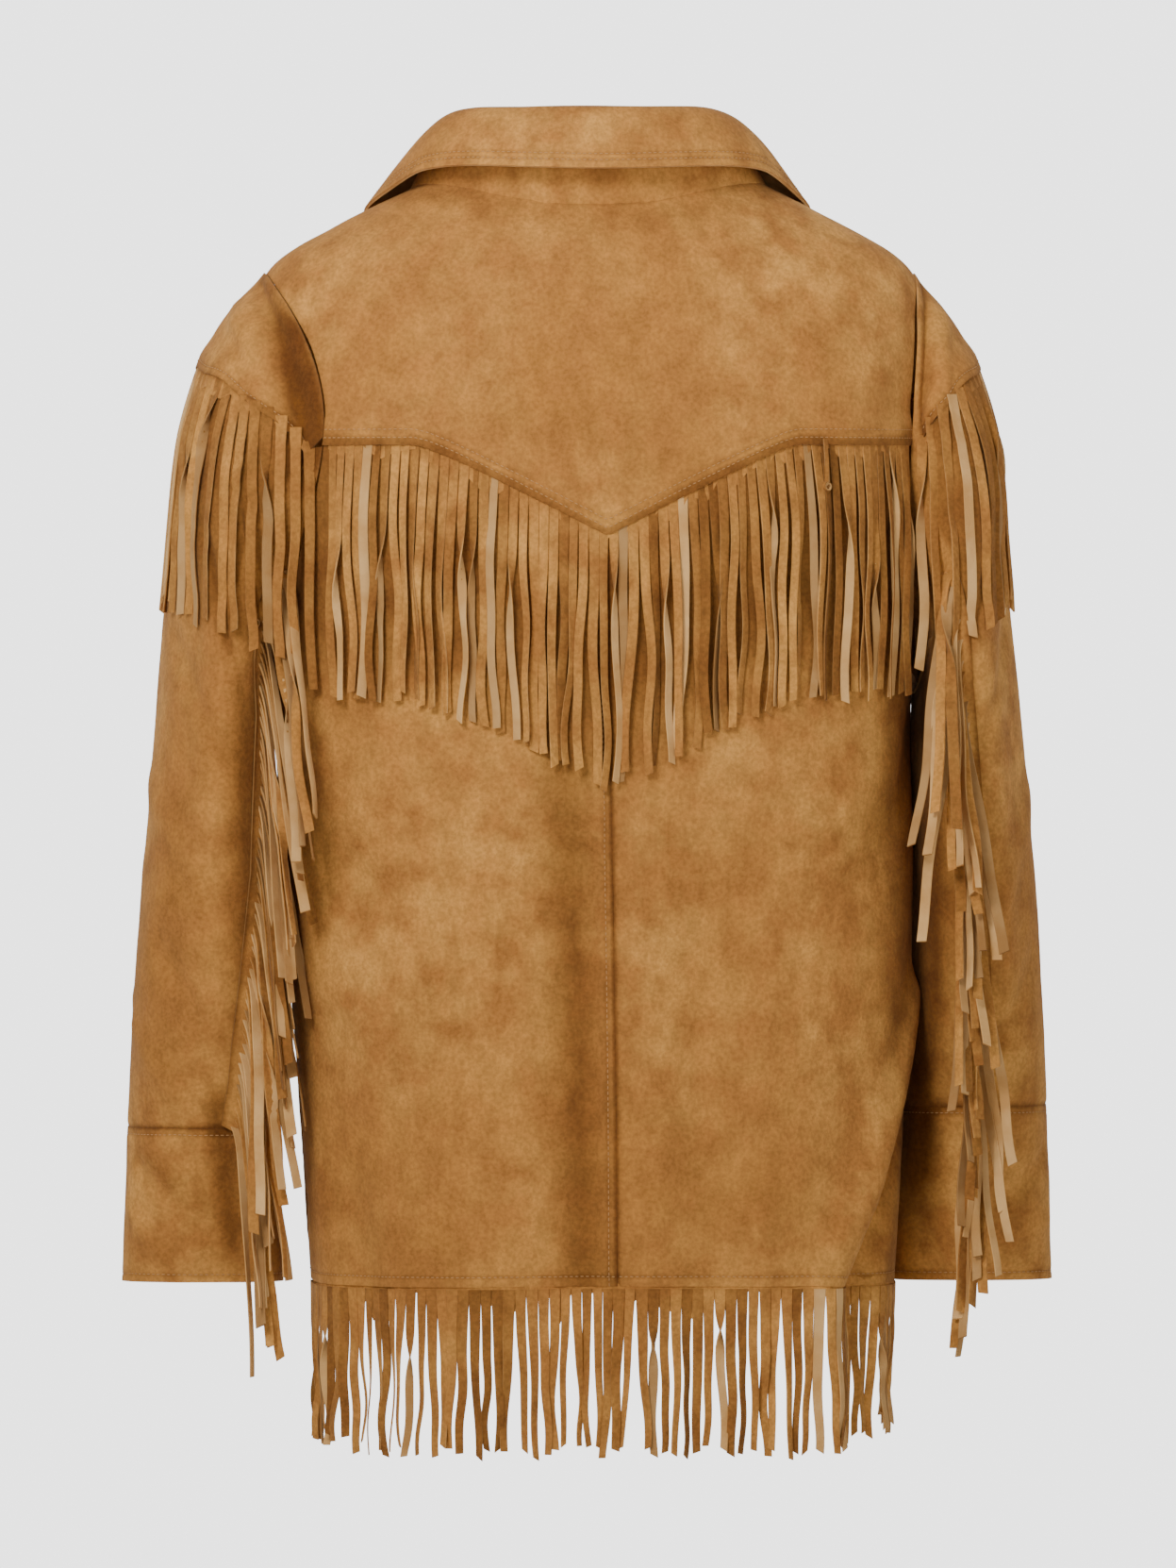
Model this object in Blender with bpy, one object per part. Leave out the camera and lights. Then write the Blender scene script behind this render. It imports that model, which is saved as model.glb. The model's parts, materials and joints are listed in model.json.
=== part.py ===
# Suede fringe jacket, held open as if worn: panels, yoke, collar, sleeves, cuffs, buttons and six fringes.
# Units are metres, +Z is up, the fronts face -Y and the wearer's left is +X.
# The origin is in the middle of the neck opening, level with the back of the neck seam. A wearer's neck and
# shoulders hold the jacket there.

import math
from collections import namedtuple
from functools import lru_cache

import bmesh
import bpy
import numpy as np
from mathutils import Matrix

MM = 0.001

# Driving dimensions
WALL = 1.5 * MM
SEAM_INSET = 0.15 * MM
LAYER_GAP = 0.3 * MM
LAP_GAP = 0.5 * MM
FRONT_LAP = 18 * MM
LAP_LEAD = 22 * MM
LAP_BLEND = 20 * MM
YOKE_POINT_DROP = 195 * MM
YOKE_SIDE_DROP = 141 * MM
YOKE_POINT_REACH = 117 * MM
YOKE_POINT_SHIFT = -2 * MM
YOKE_EASE = 0.12
FRINGE_THICK = 1.2 * MM
FRINGE_GAP = 0.5 * MM
CAP_FRINGE_GAP = 1.1 * MM
FRINGE_STRIP = 7 * MM
YOKE_FRINGE_LENGTH = 155 * MM
CAP_FRINGE_LENGTH = 146 * MM
SEAM_FRINGE_LENGTH = 145 * MM
HEM_FRINGE_LENGTH = 99 * MM
BUTTON_RADIUS = 8.5 * MM
BUTTON_THICK = 3 * MM
BUTTON_COUNT = 6
TOP_BUTTON_LEVEL = -100 * MM
BUTTON_PITCH = 98 * MM
# Radius and height of the button's half section, as shares of its radius and thickness
BUTTON_PROFILE = ((0.0, 0.0), (0.86, 0.0), (1.0, 0.3), (1.0, 0.75), (0.84, 1.0), (0.62, 0.72), (0.0, 0.72))

# Girth positions, in degrees round the body: 0 is the centre back, 90 the left side, 180 the centre front
SIDE_SEAM_DEG = 96.0
SHOULDER_SEAM_DEG = 101.0
ARMHOLE_MIDDLE_DEG = 92.0

# Mesh fineness
BACK_COLUMNS = 13
FRONT_COLUMNS = 10
LOWER_ROWS = 8
SHOULDER_ROWS = 3
SLEEVE_ROWS = 12
CAP_ROWS = 3
CUFF_ROWS = 2
CUFF_COLUMNS = 20
LEAF_COLUMNS = 26
LEAF_ROWS = 5
BUTTON_STEPS = 12
# Steps round an armhole, between the underarm, the back seam, the yoke corner, the shoulder and the underarm
ARMHOLE_STEPS = (3, 2, 6, 8)
# Powers that draw the rows and columns closer together where a piece bends most
FRONT_COLUMN_POWER = 0.85
YOKE_BEND_POWER = 3
LEAF_ROW_POWER = 1.3
# Small steps and limits of the surface measurements
GIRTH_PROBE_DEG = 0.3
LEVEL_PROBE = 0.01
SLEEVE_PROBE = 0.05
SEAM_PROBE_DEG = 2.0
OUT_RISE = 0.6
TURN_SLACK = 1e-6
CREASE_DEG = 50

# Body sections from hem to neck, in millimetres. The three heights tilt a section towards the front.
BodyRing = namedtuple("BodyRing", "back_z side_z front_z half_width back_y front_y shift squareness")
BODY_RINGS = (
    BodyRing(-650, -650, -640, 175, 128, 126, -9, 2.5),
    BodyRing(-540, -540, -532, 182, 132, 130, -8, 2.5),
    BodyRing(-420, -420, -414, 189, 134, 131, -6, 2.5),
    BodyRing(-300, -300, -297, 191, 137, 131, -3, 2.6),
    BodyRing(-200, -195, -205, 194, 137, 128, -1, 2.7),
    BodyRing(-138, -128, -165, 200, 131, 121, 0, 2.7),
    BodyRing(-92, -76, -140, 203, 121, 112, 0, 2.5),
    BodyRing(-56, -44, -118, 186, 110, 104, 0, 2.3),
    BodyRing(-26, -22, -97, 152, 97, 95, 0, 2.1),
    BodyRing(0, 5, -75, 104, 80, 86, 0, 2.0),
)
NECK = len(BODY_RINGS) - 1.0
ROLL_LINE = BodyRing(54, 38, -50, 95, 76, 79, 0, 2.3)
LEAF_EDGE = BodyRing(20, -8, -128, 132, 101, 122, 0, 2.1)
LEAF_EDGE_TURNS = (92.0, 152.0)
LEAF_EDGE_LEVELS = (8.5, 7.3)
LEAF_FREE_DEG = 55.0
LEAF_REST = 4.5 * MM
STAND_DROP = 4.6 * MM
LEAF_ROLL_END_DEG = 177.0
LEAF_POINT_DEG = 152.0
LEAF_FLAT_POWER = 0.7
LEAF_FALL_POWER = 1.45
STAND_END_DEG = 177.5

# Sleeve sections from shoulder to wrist, in millimetres. Each lies through its outer and inner points.
SleeveRing = namedtuple(
    "SleeveRing", "outer_x outer_z inner_left inner_right inner_z middle_y depth_left depth_right"
)
SLEEVE_RINGS = (
    SleeveRing(214, -66, 195, 201, -290, 2, 80, 76),
    SleeveRing(232, -95, 196, 202, -295, 2, 82, 81),
    SleeveRing(245, -135, 196, 202, -301, 2, 83, 84),
    SleeveRing(251, -190, 196, 202, -308, 1, 82, 84),
    SleeveRing(256, -245, 196, 202, -320, 0, 80, 83),
    SleeveRing(263, -320, 195, 202, -352, -1, 77, 80),
    SleeveRing(269, -395, 194, 202, -405, -3, 73, 76),
    SleeveRing(274, -480, 192, 201, -482, -10, 66, 68),
    SleeveRing(276.5, -560, 188, 198, -560, -19, 52, 53),
    SleeveRing(278.5, -652, 183, 192, -652, -28, 36, 37),
)
SLEEVE_SQUARENESS = 2.1
STEADY_LEVEL = 0.1
WRIST = float(len(SLEEVE_RINGS))

# What differs between the two sides
Side = namedtuple(
    "Side",
    "name sign back_deg front_deg cap_peak cuff_start seam_turns "
    "cap_fringe_deg seam_fringe_start lean shingle",
)
SEAM_LEVELS = (0.0, 5.0, 7.0, 9.0)
LEFT = Side("left", 1, 55.0, 118.0, 2.03, 8.98, (122.0, 134.0, 130.0, 106.0), -9.0, 2.2, 0.06, 0.17)
RIGHT = Side("right", -1, 64.0, 118.0, 2.03, 8.83, (106.0, 98.0, 92.0, 86.0), -26.0, 2.4, 0.16, 0.15)
SIDES = (LEFT, RIGHT)
ARMHOLE_TOP = 6.95
ARMHOLE_BOTTOM = 3.15
ARMHOLE_SQUARENESS = 2.3
CAP_LEAST = 0.12
CAP_FRONT_TURN = -84.0
YOKE_CORNER_X = 200 * MM

# The largest folds. On the body a fold runs between two girth angles and heights, on a sleeve between two
# turns about the arm and two section numbers. Lift is outward, and reach is the fold's half width.
Fold = namedtuple("Fold", "start start_level end end_level lift reach")
BODY_FOLDS = (
    Fold(8, -0.40, 7, -0.68, -7 * MM, 22 * MM),
    Fold(-15, -0.46, -19, -0.68, -4 * MM, 24 * MM),
    Fold(-82, -0.48, -47, -0.67, 9 * MM, 20 * MM),
    Fold(-99, -0.50, -70, -0.67, -16 * MM, 22 * MM),
    Fold(60, -0.50, 53, -0.68, -6 * MM, 24 * MM),
    Fold(74, -0.32, 44, -0.42, -4 * MM, 20 * MM),
    Fold(-76, -0.32, -48, -0.41, -4 * MM, 20 * MM),
    Fold(138, -0.36, 132, -0.66, -5 * MM, 24 * MM),
    Fold(-140, -0.38, -134, -0.66, -5 * MM, 24 * MM),
)
GIRTH_RADIUS = 0.16
SLEEVE_FOLDS = {
    "left": (
        Fold(26, 0.75, 60, 0.3, -6 * MM, 17 * MM),
        Fold(52, 4.6, 60, 7.8, -4 * MM, 20 * MM),
        Fold(-60, 5.6, -20, 6.6, -4 * MM, 19 * MM),
    ),
    "right": (
        Fold(35, 0.8, 76, 0.6, -4 * MM, 19 * MM),
        Fold(40, 4.2, 46, 7.6, -4 * MM, 19 * MM),
        Fold(-60, 5.8, -20, 6.7, -4 * MM, 19 * MM),
    ),
}
SLEEVE_RADIUS = 0.055
SLEEVE_LEVEL_STEP = 0.06
SLEEVE_FOLD_EASE = 0.5

# Strands in each fringe, and how much of the strip each strand takes
YOKE_STRANDS = 56
HEM_STRANDS = 56
CAP_STRANDS = 18
SEAM_STRANDS = 28
YOKE_STRAND_SHARE = 0.8
HEM_STRAND_SHARE = 0.72
CAP_STRAND_SHARE = 0.76
SEAM_STRAND_SHARE = 0.4
STRAIGHT_LEVELS = 2
BENT_LEVELS = 3
STRAND_SPACING = 1.6
# How the strands hang: how far they stand off the cloth, and how length and swing differ between them
STRAND_LIFT = 2.6 * MM
STRAND_LIFT_RANGE = 0.7 * MM
LENGTH_RANGE = 4 * MM
YOKE_SWING = 0.5 * MM
HEM_SWING = 0.8 * MM
HEM_SPREAD = 3 * MM
LENGTH_RATE = 2.7
LIFT_RATE = 3.1
SWING_RATE = 1.9
SPREAD_RATE = 2.9
LEAN_RATE = 1.3
SWAY_START = 0.7
SWAY_SHARE = 0.6
SWAY_SECOND_RATE = 2.3
# Where the fringes end, short of the corners of their seams
YOKE_FRINGE_INSET_DEG = 1.8
HEM_FRINGE_INSET_DEG = 0.4
CAP_FRINGE_INSET_DEG = 8
SEAM_FRINGE_INSET = 0.03
# The sleeve seam's fringe: its strip, the bend below it, and how its strands lean and lie over each other
SLEEVE_PROBE_TURNS = (-24, -16, -8, 0, 8, 16, 24)
SEAM_HALF_STRIP = 3.5 * MM
SEAM_BEND = 3 * MM
SEAM_STANDING = 0.8 * MM
LEAST_LEAN = 0.35
LEAN_RANGE = 0.02
TOP_SHINGLE = 0.24

SUEDE = ("suede", (0.47, 0.235, 0.075), 0.95)
SUEDE_FRINGE = ("suede fringe", (0.52, 0.29, 0.11), 0.95)
HORN = ("horn", (0.10, 0.045, 0.02), 0.35)


def smooth(share):
    share = min(1.0, max(0.0, share))
    return share * share * (3 - 2 * share)


def through(values, level):
    """Catmull-Rom curve through equally spaced values."""
    last = len(values) - 1
    level = min(max(level, 0.0), last)
    index = min(int(level), last - 1)
    share = level - index
    before, start, end, after = (values[min(max(index + step, 0), last)] for step in (-1, 0, 1, 2))
    if index == 0:
        before = 2 * start - end
    if index == last - 1:
        after = 2 * end - start
    return 0.5 * (
        2 * start
        + (end - before) * share
        + (2 * before - 5 * start + 4 * end - after) * share**2
        + (3 * start - before - 3 * end + after) * share**3
    )


BODY_TABLE = np.array(BODY_RINGS, float)
SOLVE_STEPS = 24
LEVEL_STEPS = np.linspace(0, NECK, 361)
LEVEL_HEIGHTS = MM * np.array([through(BODY_TABLE, level)[:3] for level in LEVEL_STEPS])


def section_point(ring, girth_deg):
    """The point of a body section at a girth angle, in metres."""
    sine, cosine = math.sin(math.radians(girth_deg)), math.cos(math.radians(girth_deg))
    even = (abs(sine) ** ring.squareness + abs(cosine) ** ring.squareness) ** (-1 / ring.squareness)
    depth = ring.back_y if cosine > 0 else ring.front_y
    tilt = (ring.back_z - ring.front_z) / 2
    rise = (ring.back_z + ring.front_z) / 2 - ring.side_z
    return MM * np.array(
        [
            ring.shift + ring.half_width * sine * even,
            depth * cosine * even,
            ring.side_z + tilt * cosine + rise * cosine**2,
        ]
    )


def fold_lift(folds, across, along, radius, step):
    """How far the folds lift the cloth at a place given by an angle in degrees and a level."""
    place = np.array([math.radians(across) * radius, along * step])
    lift = 0.0
    for fold in folds:
        start = np.array([math.radians(fold.start) * radius, fold.start_level * step])
        end = np.array([math.radians(fold.end) * radius, fold.end_level * step])
        share = np.clip((place - start) @ (end - start) / ((end - start) @ (end - start)), 0, 1)
        distance = np.linalg.norm(place - start - share * (end - start))
        lift += fold.lift * math.exp(-((distance / fold.reach) ** 2))
    return lift


def ring_out(girth_deg):
    """Level outward direction at a girth angle."""
    return np.array([math.sin(math.radians(girth_deg)), math.cos(math.radians(girth_deg)), 0])


@lru_cache(maxsize=None)
def body_point(girth_deg, level):
    """The inner face of the body cloth. Level 0 is the hem and NECK the neck seam."""
    point = section_point(BodyRing(*through(BODY_TABLE, level)), girth_deg)
    return point + ring_out(girth_deg) * fold_lift(BODY_FOLDS, girth_deg, point[2], GIRTH_RADIUS, 1.0)


@lru_cache(maxsize=None)
def body_out(girth_deg, level):
    """The unit outward normal of the body cloth."""
    here = body_point(girth_deg, level)
    step = LEVEL_PROBE if level < 1 else -LEVEL_PROBE
    across = body_point(girth_deg + GIRTH_PROBE_DEG, level) - here
    along = body_point(girth_deg, level + step) - here
    normal = np.cross(across, along)
    normal /= np.linalg.norm(normal)
    outward = ring_out(girth_deg) + np.array([0, 0, OUT_RISE])
    return normal if normal @ outward > 0 else -normal


def solve(function, target, low, high):
    """Where a steadily rising or falling function meets the target."""
    rising = function(high) > function(low)
    for _ in range(SOLVE_STEPS):
        middle = (low + high) / 2
        if (function(middle) < target) == rising:
            low = middle
        else:
            high = middle
    return (low + high) / 2


def body_level(girth_deg, height):
    """The body level at which the cloth has this height."""
    cosine = math.cos(math.radians(girth_deg))
    back, side, front = LEVEL_HEIGHTS.T
    heights = side + (back - front) / 2 * cosine + ((back + front) / 2 - side) * cosine**2
    return float(np.interp(height, heights, LEVEL_STEPS))


def armhole(side, turn):
    """(girth angle, level) of the armhole at a turn: 0 top, 90 back, 180 underarm, -90 front."""
    sine, cosine = math.sin(math.radians(turn)), math.cos(math.radians(turn))
    even = (abs(sine) ** ARMHOLE_SQUARENESS + abs(cosine) ** ARMHOLE_SQUARENESS) ** (-1 / ARMHOLE_SQUARENESS)
    width = ARMHOLE_MIDDLE_DEG - side.back_deg if sine > 0 else side.front_deg - ARMHOLE_MIDDLE_DEG
    middle, half = (ARMHOLE_TOP + ARMHOLE_BOTTOM) / 2, (ARMHOLE_TOP - ARMHOLE_BOTTOM) / 2
    girth = ARMHOLE_MIDDLE_DEG - width * sine * even
    return side.sign * girth, middle + half * cosine * even


def yoke_height(across):
    """Height of the yoke seam at a distance across the back."""
    share = max(0.0, 1 - abs(across - YOKE_POINT_SHIFT) / YOKE_POINT_REACH)
    drop = (1 + YOKE_EASE) * share**2 / (share + YOKE_EASE)
    return -YOKE_SIDE_DROP - (YOKE_POINT_DROP - YOKE_SIDE_DROP) * drop


@lru_cache(maxsize=None)
def yoke_level(girth_deg):
    """Body level of the yoke seam at a girth angle."""

    def above(level):
        point = body_point(girth_deg, level)
        return point[2] - yoke_height(point[0])

    return solve(above, 0, 3.0, 6.0)


@lru_cache(maxsize=None)
def armhole_marks(side):
    """The turns at which the armhole is sampled, and those of the yoke corner and the shoulder seam."""
    height = yoke_height(YOKE_CORNER_X * side.sign)
    corner = solve(lambda turn: body_point(*armhole(side, turn))[2], height, 40.0, 140.0)
    shoulder = -solve(lambda turn: abs(armhole(side, -turn)[0]), SHOULDER_SEAM_DEG, 0.0, 60.0)
    stops = (180, side.seam_turns[0], corner, shoulder, -180)
    under, back, yoke, front = (
        list(np.linspace(start, end, steps + 1)) for start, end, steps in zip(stops, stops[1:], ARMHOLE_STEPS)
    )
    return under + back[1:], yoke, front


def wall(name, inner, outer, material, closed=False):
    """A closed cloth wall between two grids of points, open at its edges or closed round its columns."""
    rows, columns = inner.shape[:2]
    mesh = bmesh.new()
    inside, outside = ([[mesh.verts.new(point) for point in row] for row in grid] for grid in (inner, outer))
    spans = columns if closed else columns - 1
    for row in range(rows - 1):
        for column in range(spans):
            after = (column + 1) % columns
            for grid in (inside, outside):
                mesh.faces.new(
                    (grid[row][column], grid[row][after], grid[row + 1][after], grid[row + 1][column])
                )
    for row in (0, rows - 1):
        for column in range(spans):
            after = (column + 1) % columns
            mesh.faces.new(
                (inside[row][column], inside[row][after], outside[row][after], outside[row][column])
            )
    if not closed:
        for column in (0, columns - 1):
            for row in range(rows - 1):
                after = row + 1
                mesh.faces.new(
                    (inside[row][column], inside[after][column], outside[after][column], outside[row][column])
                )
    finish(name, mesh, material)


def finish(name, mesh, material):
    """Turns a closed bmesh into a named object with its material, shaded smooth."""
    bmesh.ops.recalc_face_normals(mesh, faces=mesh.faces)
    if mesh.calc_volume(signed=True) < 0:
        bmesh.ops.reverse_faces(mesh, faces=mesh.faces)
    data = bpy.data.meshes.new(name)
    mesh.to_mesh(data)
    mesh.free()
    data.shade_smooth()
    data.set_sharp_from_angle(angle=math.radians(CREASE_DEG))
    data.materials.append(material_of(*material))
    thing = bpy.data.objects.new(name, data)
    bpy.context.scene.collection.objects.link(thing)


def material_of(name, colour, roughness):
    """A plain finish, made once."""
    known = bpy.data.materials.get(name)
    if known:
        return known
    made = bpy.data.materials.new(name)
    made.use_nodes = True
    shader = made.node_tree.nodes["Principled BSDF"]
    shader.inputs["Base Color"].default_value = (*colour, 1)
    shader.inputs["Roughness"].default_value = roughness
    shader.inputs["Metallic"].default_value = 0
    return made


def inset(grid, rows=(True, True), columns=(True, True)):
    """Draws the chosen edges of a grid back along the cloth, half a seam gap each."""
    for edge, inner, wanted in ((0, 1, rows[0]), (-1, -2, rows[1])):
        if wanted:
            step = grid[inner] - grid[edge]
            grid[edge] += SEAM_INSET * step / np.linalg.norm(step, axis=-1, keepdims=True)
    for edge, inner, wanted in ((0, 1, columns[0]), (-1, -2, columns[1])):
        if wanted:
            step = grid[:, inner] - grid[:, edge]
            grid[:, edge] += SEAM_INSET * step / np.linalg.norm(step, axis=-1, keepdims=True)
    return grid


def body_wall(name, places, lift=lambda girth, level: 0.0, rows=(True, True)):
    """A body panel from a grid of (girth angle, level) places."""
    inner = np.array([[body_point(*place) for place in row] for row in places])
    out = np.array([[body_out(*place) for place in row] for row in places])
    raised = np.array([[[lift(*place)] for place in row] for row in places])
    inner = inset(inner + out * raised, rows)
    wall(name, inner, inner + out * WALL, SUEDE)


def lower_levels():
    """Levels of the rows between the hem and the underarm."""
    return list(np.linspace(0, ARMHOLE_BOTTOM, LOWER_ROWS + 1))


def corner_of(side):
    """(girth angle without its sign, level) where the yoke seam meets the armhole."""
    girth, level = armhole(side, armhole_marks(side)[0][-1])
    return abs(girth), level


def seam_level(side, girth):
    """Yoke seam level on one side, held level beyond the armhole corner."""
    corner, level = corner_of(side)
    return level if girth >= corner else yoke_level(side.sign * girth)


def back_panel(side):
    """One half of the back, from the centre back seam to the side seam and up to the yoke."""
    back = armhole_marks(side)[0]
    edge = [(side.sign * SIDE_SEAM_DEG, level) for level in lower_levels()[:-1]]
    edge += [armhole(side, turn) for turn in back]
    edge[len(lower_levels()) - 1] = (side.sign * SIDE_SEAM_DEG, ARMHOLE_BOTTOM)
    top = corner_of(side)[1]
    places = []
    for girth_end, level_end in edge:
        row = []
        for share in np.linspace(0, 1, BACK_COLUMNS + 1):
            girth = share * abs(girth_end)
            row.append((side.sign * girth, level_end * seam_level(side, girth) / top))
        row[-1] = (girth_end, level_end)
        places.append(row)
    body_wall("back_" + side.name, places)


def yoke_rows(side):
    """Rows of (girth angle, level) over one half of the yoke, from its lower seam to the neck."""
    yoke = armhole_marks(side)[1]
    edge = [armhole(side, turn) for turn in yoke]
    for level in np.linspace(edge[-1][1], NECK, SHOULDER_ROWS + 1)[1:]:
        edge.append((side.sign * SHOULDER_SEAM_DEG, level))
    top = corner_of(side)[1]
    rows = []
    for index, (girth_end, level_end) in enumerate(edge):
        risen = index / (len(edge) - 1)
        bend = level_end - top - (NECK - top) * risen
        row = []
        for share in np.linspace(0, 1, BACK_COLUMNS + 1):
            girth = share * abs(girth_end)
            seam = seam_level(side, girth)
            row.append((side.sign * girth, seam + (NECK - seam) * risen + bend * share**YOKE_BEND_POWER))
        row[-1] = (girth_end, level_end)
        rows.append(row)
    return rows


def yoke_panel():
    """The pointed back yoke, in one piece across the back and over both shoulders."""
    left, right = yoke_rows(LEFT), yoke_rows(RIGHT)
    places = [list(reversed(one)) + other[1:] for one, other in zip(right, left)]
    body_wall("yoke", places)


def lap_lift(girth, level):
    """How far the lapping front is raised to clear the one below it."""
    across = body_point(girth, level)[0] - MM * through(BODY_TABLE, level)[6]
    return (WALL + LAP_GAP) * smooth((across + FRONT_LAP + LAP_LEAD + LAP_BLEND) / LAP_BLEND)


def front_girths(level, start):
    """Girth angles of a front's columns, from the given angle to past the centre front."""
    lap = math.degrees(math.asin(FRONT_LAP / (MM * through(BODY_TABLE, level)[3])))
    shares = np.linspace(0, 1, FRONT_COLUMNS + 1) ** FRONT_COLUMN_POWER
    return [start + (180 + lap - start) * share for share in shares]


def front_panel(side):
    """One front, from past the centre front to the side seam, the armhole and the shoulder seam."""
    shoulder = armhole_marks(side)[2]
    edge = [(side.sign * SIDE_SEAM_DEG, level) for level in lower_levels()]
    edge += [armhole(side, turn) for turn in reversed(shoulder[:-1])]
    for level in np.linspace(edge[-1][1], NECK, SHOULDER_ROWS + 1)[1:]:
        edge.append((side.sign * SHOULDER_SEAM_DEG, level))
    places = [
        [(side.sign * girth, level) for girth in front_girths(level, abs(girth_end))]
        for girth_end, level in edge
    ]
    if side is RIGHT:
        body_wall("front_right", places, lap_lift)
    else:
        body_wall("front_left", places)


def stand_foot(girth_deg):
    """Where the collar stand rises from the neck edge, clear of the cloth that it is sewn to."""
    foot = body_point(girth_deg, NECK)
    lap = lap_lift(girth_deg, NECK) if abs(girth_deg) > 90 else 0.0
    return foot + body_out(girth_deg, NECK) * (WALL + LAYER_GAP + lap)


def stand_girths():
    """The stand's columns, the same as those of the panels round the neck."""
    back = np.linspace(0, SHOULDER_SEAM_DEG, BACK_COLUMNS + 1)
    front = [girth for girth in front_girths(NECK, SHOULDER_SEAM_DEG) if girth < STAND_END_DEG]
    half = list(back) + front[1:] + [STAND_END_DEG]
    return [-girth for girth in reversed(half[1:])] + half


def collar_stand():
    """The upright band round the neck."""
    girths = stand_girths()
    top = [section_point(ROLL_LINE, girth) - np.array([0, 0, STAND_DROP]) for girth in girths]
    inner = np.array([[stand_foot(girth) for girth in girths], top])
    out = np.array([[ring_out(girth) for girth in girths]])
    wall("collar_stand", inner, inner + out * WALL, SUEDE)


def leaf_edge(girth_deg):
    """The lower edge of the collar's leaf, which stands off the back and rests on the fronts."""
    turn = abs(girth_deg)
    level = np.interp(turn, LEAF_EDGE_TURNS, LEAF_EDGE_LEVELS)
    resting = body_point(girth_deg, level) + body_out(girth_deg, level) * LEAF_REST
    share = smooth((turn - LEAF_FREE_DEG) / (LEAF_EDGE_TURNS[0] - LEAF_FREE_DEG))
    return section_point(LEAF_EDGE, girth_deg) * (1 - share) + resting * share


def leaf_point(side_share, share):
    """The under face of the turned-down collar. The first share runs from -1 to 1 round the neck."""
    start = section_point(ROLL_LINE, side_share * LEAF_ROLL_END_DEG)
    end = leaf_edge(side_share * LEAF_POINT_DEG)
    flat, fall = share**LEAF_FLAT_POWER, share**LEAF_FALL_POWER
    return start + (end - start) * np.array([flat, flat, fall])


def collar_leaf():
    """The collar's turned-down leaf, ending in two points at the front."""
    turns = np.linspace(-1, 1, LEAF_COLUMNS + 1)
    shares = np.linspace(0, 1, LEAF_ROWS + 1) ** LEAF_ROW_POWER
    inner = np.array([[leaf_point(turn, share) for turn in turns] for share in shares])
    along = np.gradient(inner, axis=1)
    down = np.gradient(inner, axis=0)
    out = np.cross(along, down)
    out /= np.linalg.norm(out, axis=-1, keepdims=True)
    facing = np.sign(out[-1, LEAF_COLUMNS // 2][1])
    wall("collar_leaf", inner, inner + out * facing * WALL, SUEDE)


def arm_ring(side, index, turn):
    """A point on one of the sleeve's table sections."""
    ring = SLEEVE_RINGS[index]
    inner_x = ring.inner_left if side is LEFT else ring.inner_right
    depth = ring.depth_left if side is LEFT else ring.depth_right
    sine, cosine = math.sin(math.radians(turn)), math.cos(math.radians(turn))
    even = (abs(sine) ** SLEEVE_SQUARENESS + abs(cosine) ** SLEEVE_SQUARENESS) ** (-1 / SLEEVE_SQUARENESS)
    outer = np.array([ring.outer_x, ring.middle_y, ring.outer_z])
    inner = np.array([inner_x, ring.middle_y, ring.inner_z])
    point = (outer + inner) / 2 + (outer - inner) / 2 * cosine * even + np.array([0, depth, 0]) * sine * even
    return MM * point * np.array([side.sign, 1, 1])


@lru_cache(maxsize=None)
def arm_ring_points(side, turn):
    """The sleeve's points down one turn, from the armhole to the cuff edge."""
    girth, level = armhole(side, turn)
    edge = body_point(girth, level) + body_out(girth, level) * (2 * WALL + LAYER_GAP)
    return np.array([edge] + [arm_ring(side, index, turn) for index in range(len(SLEEVE_RINGS))])


def arm_out(side, turn):
    """Level outward direction at a turn about the arm."""
    return np.array([side.sign * math.cos(math.radians(turn)), math.sin(math.radians(turn)), 0])


@lru_cache(maxsize=None)
def sleeve_point(side, turn, level):
    """The outer face of a sleeve. Level 0 is the armhole and WRIST the cuff edge."""
    place = through(arm_ring_points(side, turn), level)
    lift = fold_lift(
        SLEEVE_FOLDS[side.name], (turn + 180) % 360 - 180, level, SLEEVE_RADIUS, SLEEVE_LEVEL_STEP
    )
    lift *= smooth(level / SLEEVE_FOLD_EASE)
    return place + arm_out(side, turn) * lift


@lru_cache(maxsize=None)
def sleeve_out(side, turn, level):
    """The unit outward normal of a sleeve."""
    level = max(level, STEADY_LEVEL)
    here = sleeve_point(side, turn, level)
    below = sleeve_point(side, turn, min(level + SLEEVE_PROBE, WRIST))
    down = below - sleeve_point(side, turn, max(level - SLEEVE_PROBE, 0))
    round_it = sleeve_point(side, turn + 1, level) - sleeve_point(side, turn - 1, level)
    normal = np.cross(round_it, down)
    normal /= np.linalg.norm(normal)
    middle = (sleeve_point(side, turn + 180, level) + here) / 2
    return normal if normal @ (here - middle) > 0 else -normal


@lru_cache(maxsize=None)
def sleeve_level(side, turn, height):
    """The sleeve level at which the cloth has this height."""
    return solve(lambda level: sleeve_point(side, turn, level)[2], height, 0.0, WRIST)


def seam_turn(side, level):
    """The turn of the fringed back seam at a sleeve level."""
    return float(np.interp(level, SEAM_LEVELS, side.seam_turns))


def cap_level(side, turn):
    """Level of the seam between the sleeve cap and the sleeve, or 0 where the cap doesn't reach."""
    corner = armhole_marks(side)[0][-1]
    reach = corner if turn > 0 else -CAP_FRONT_TURN
    return CAP_LEAST + (side.cap_peak - CAP_LEAST) * max(0.0, 1 - (turn / reach) ** 2)


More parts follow.
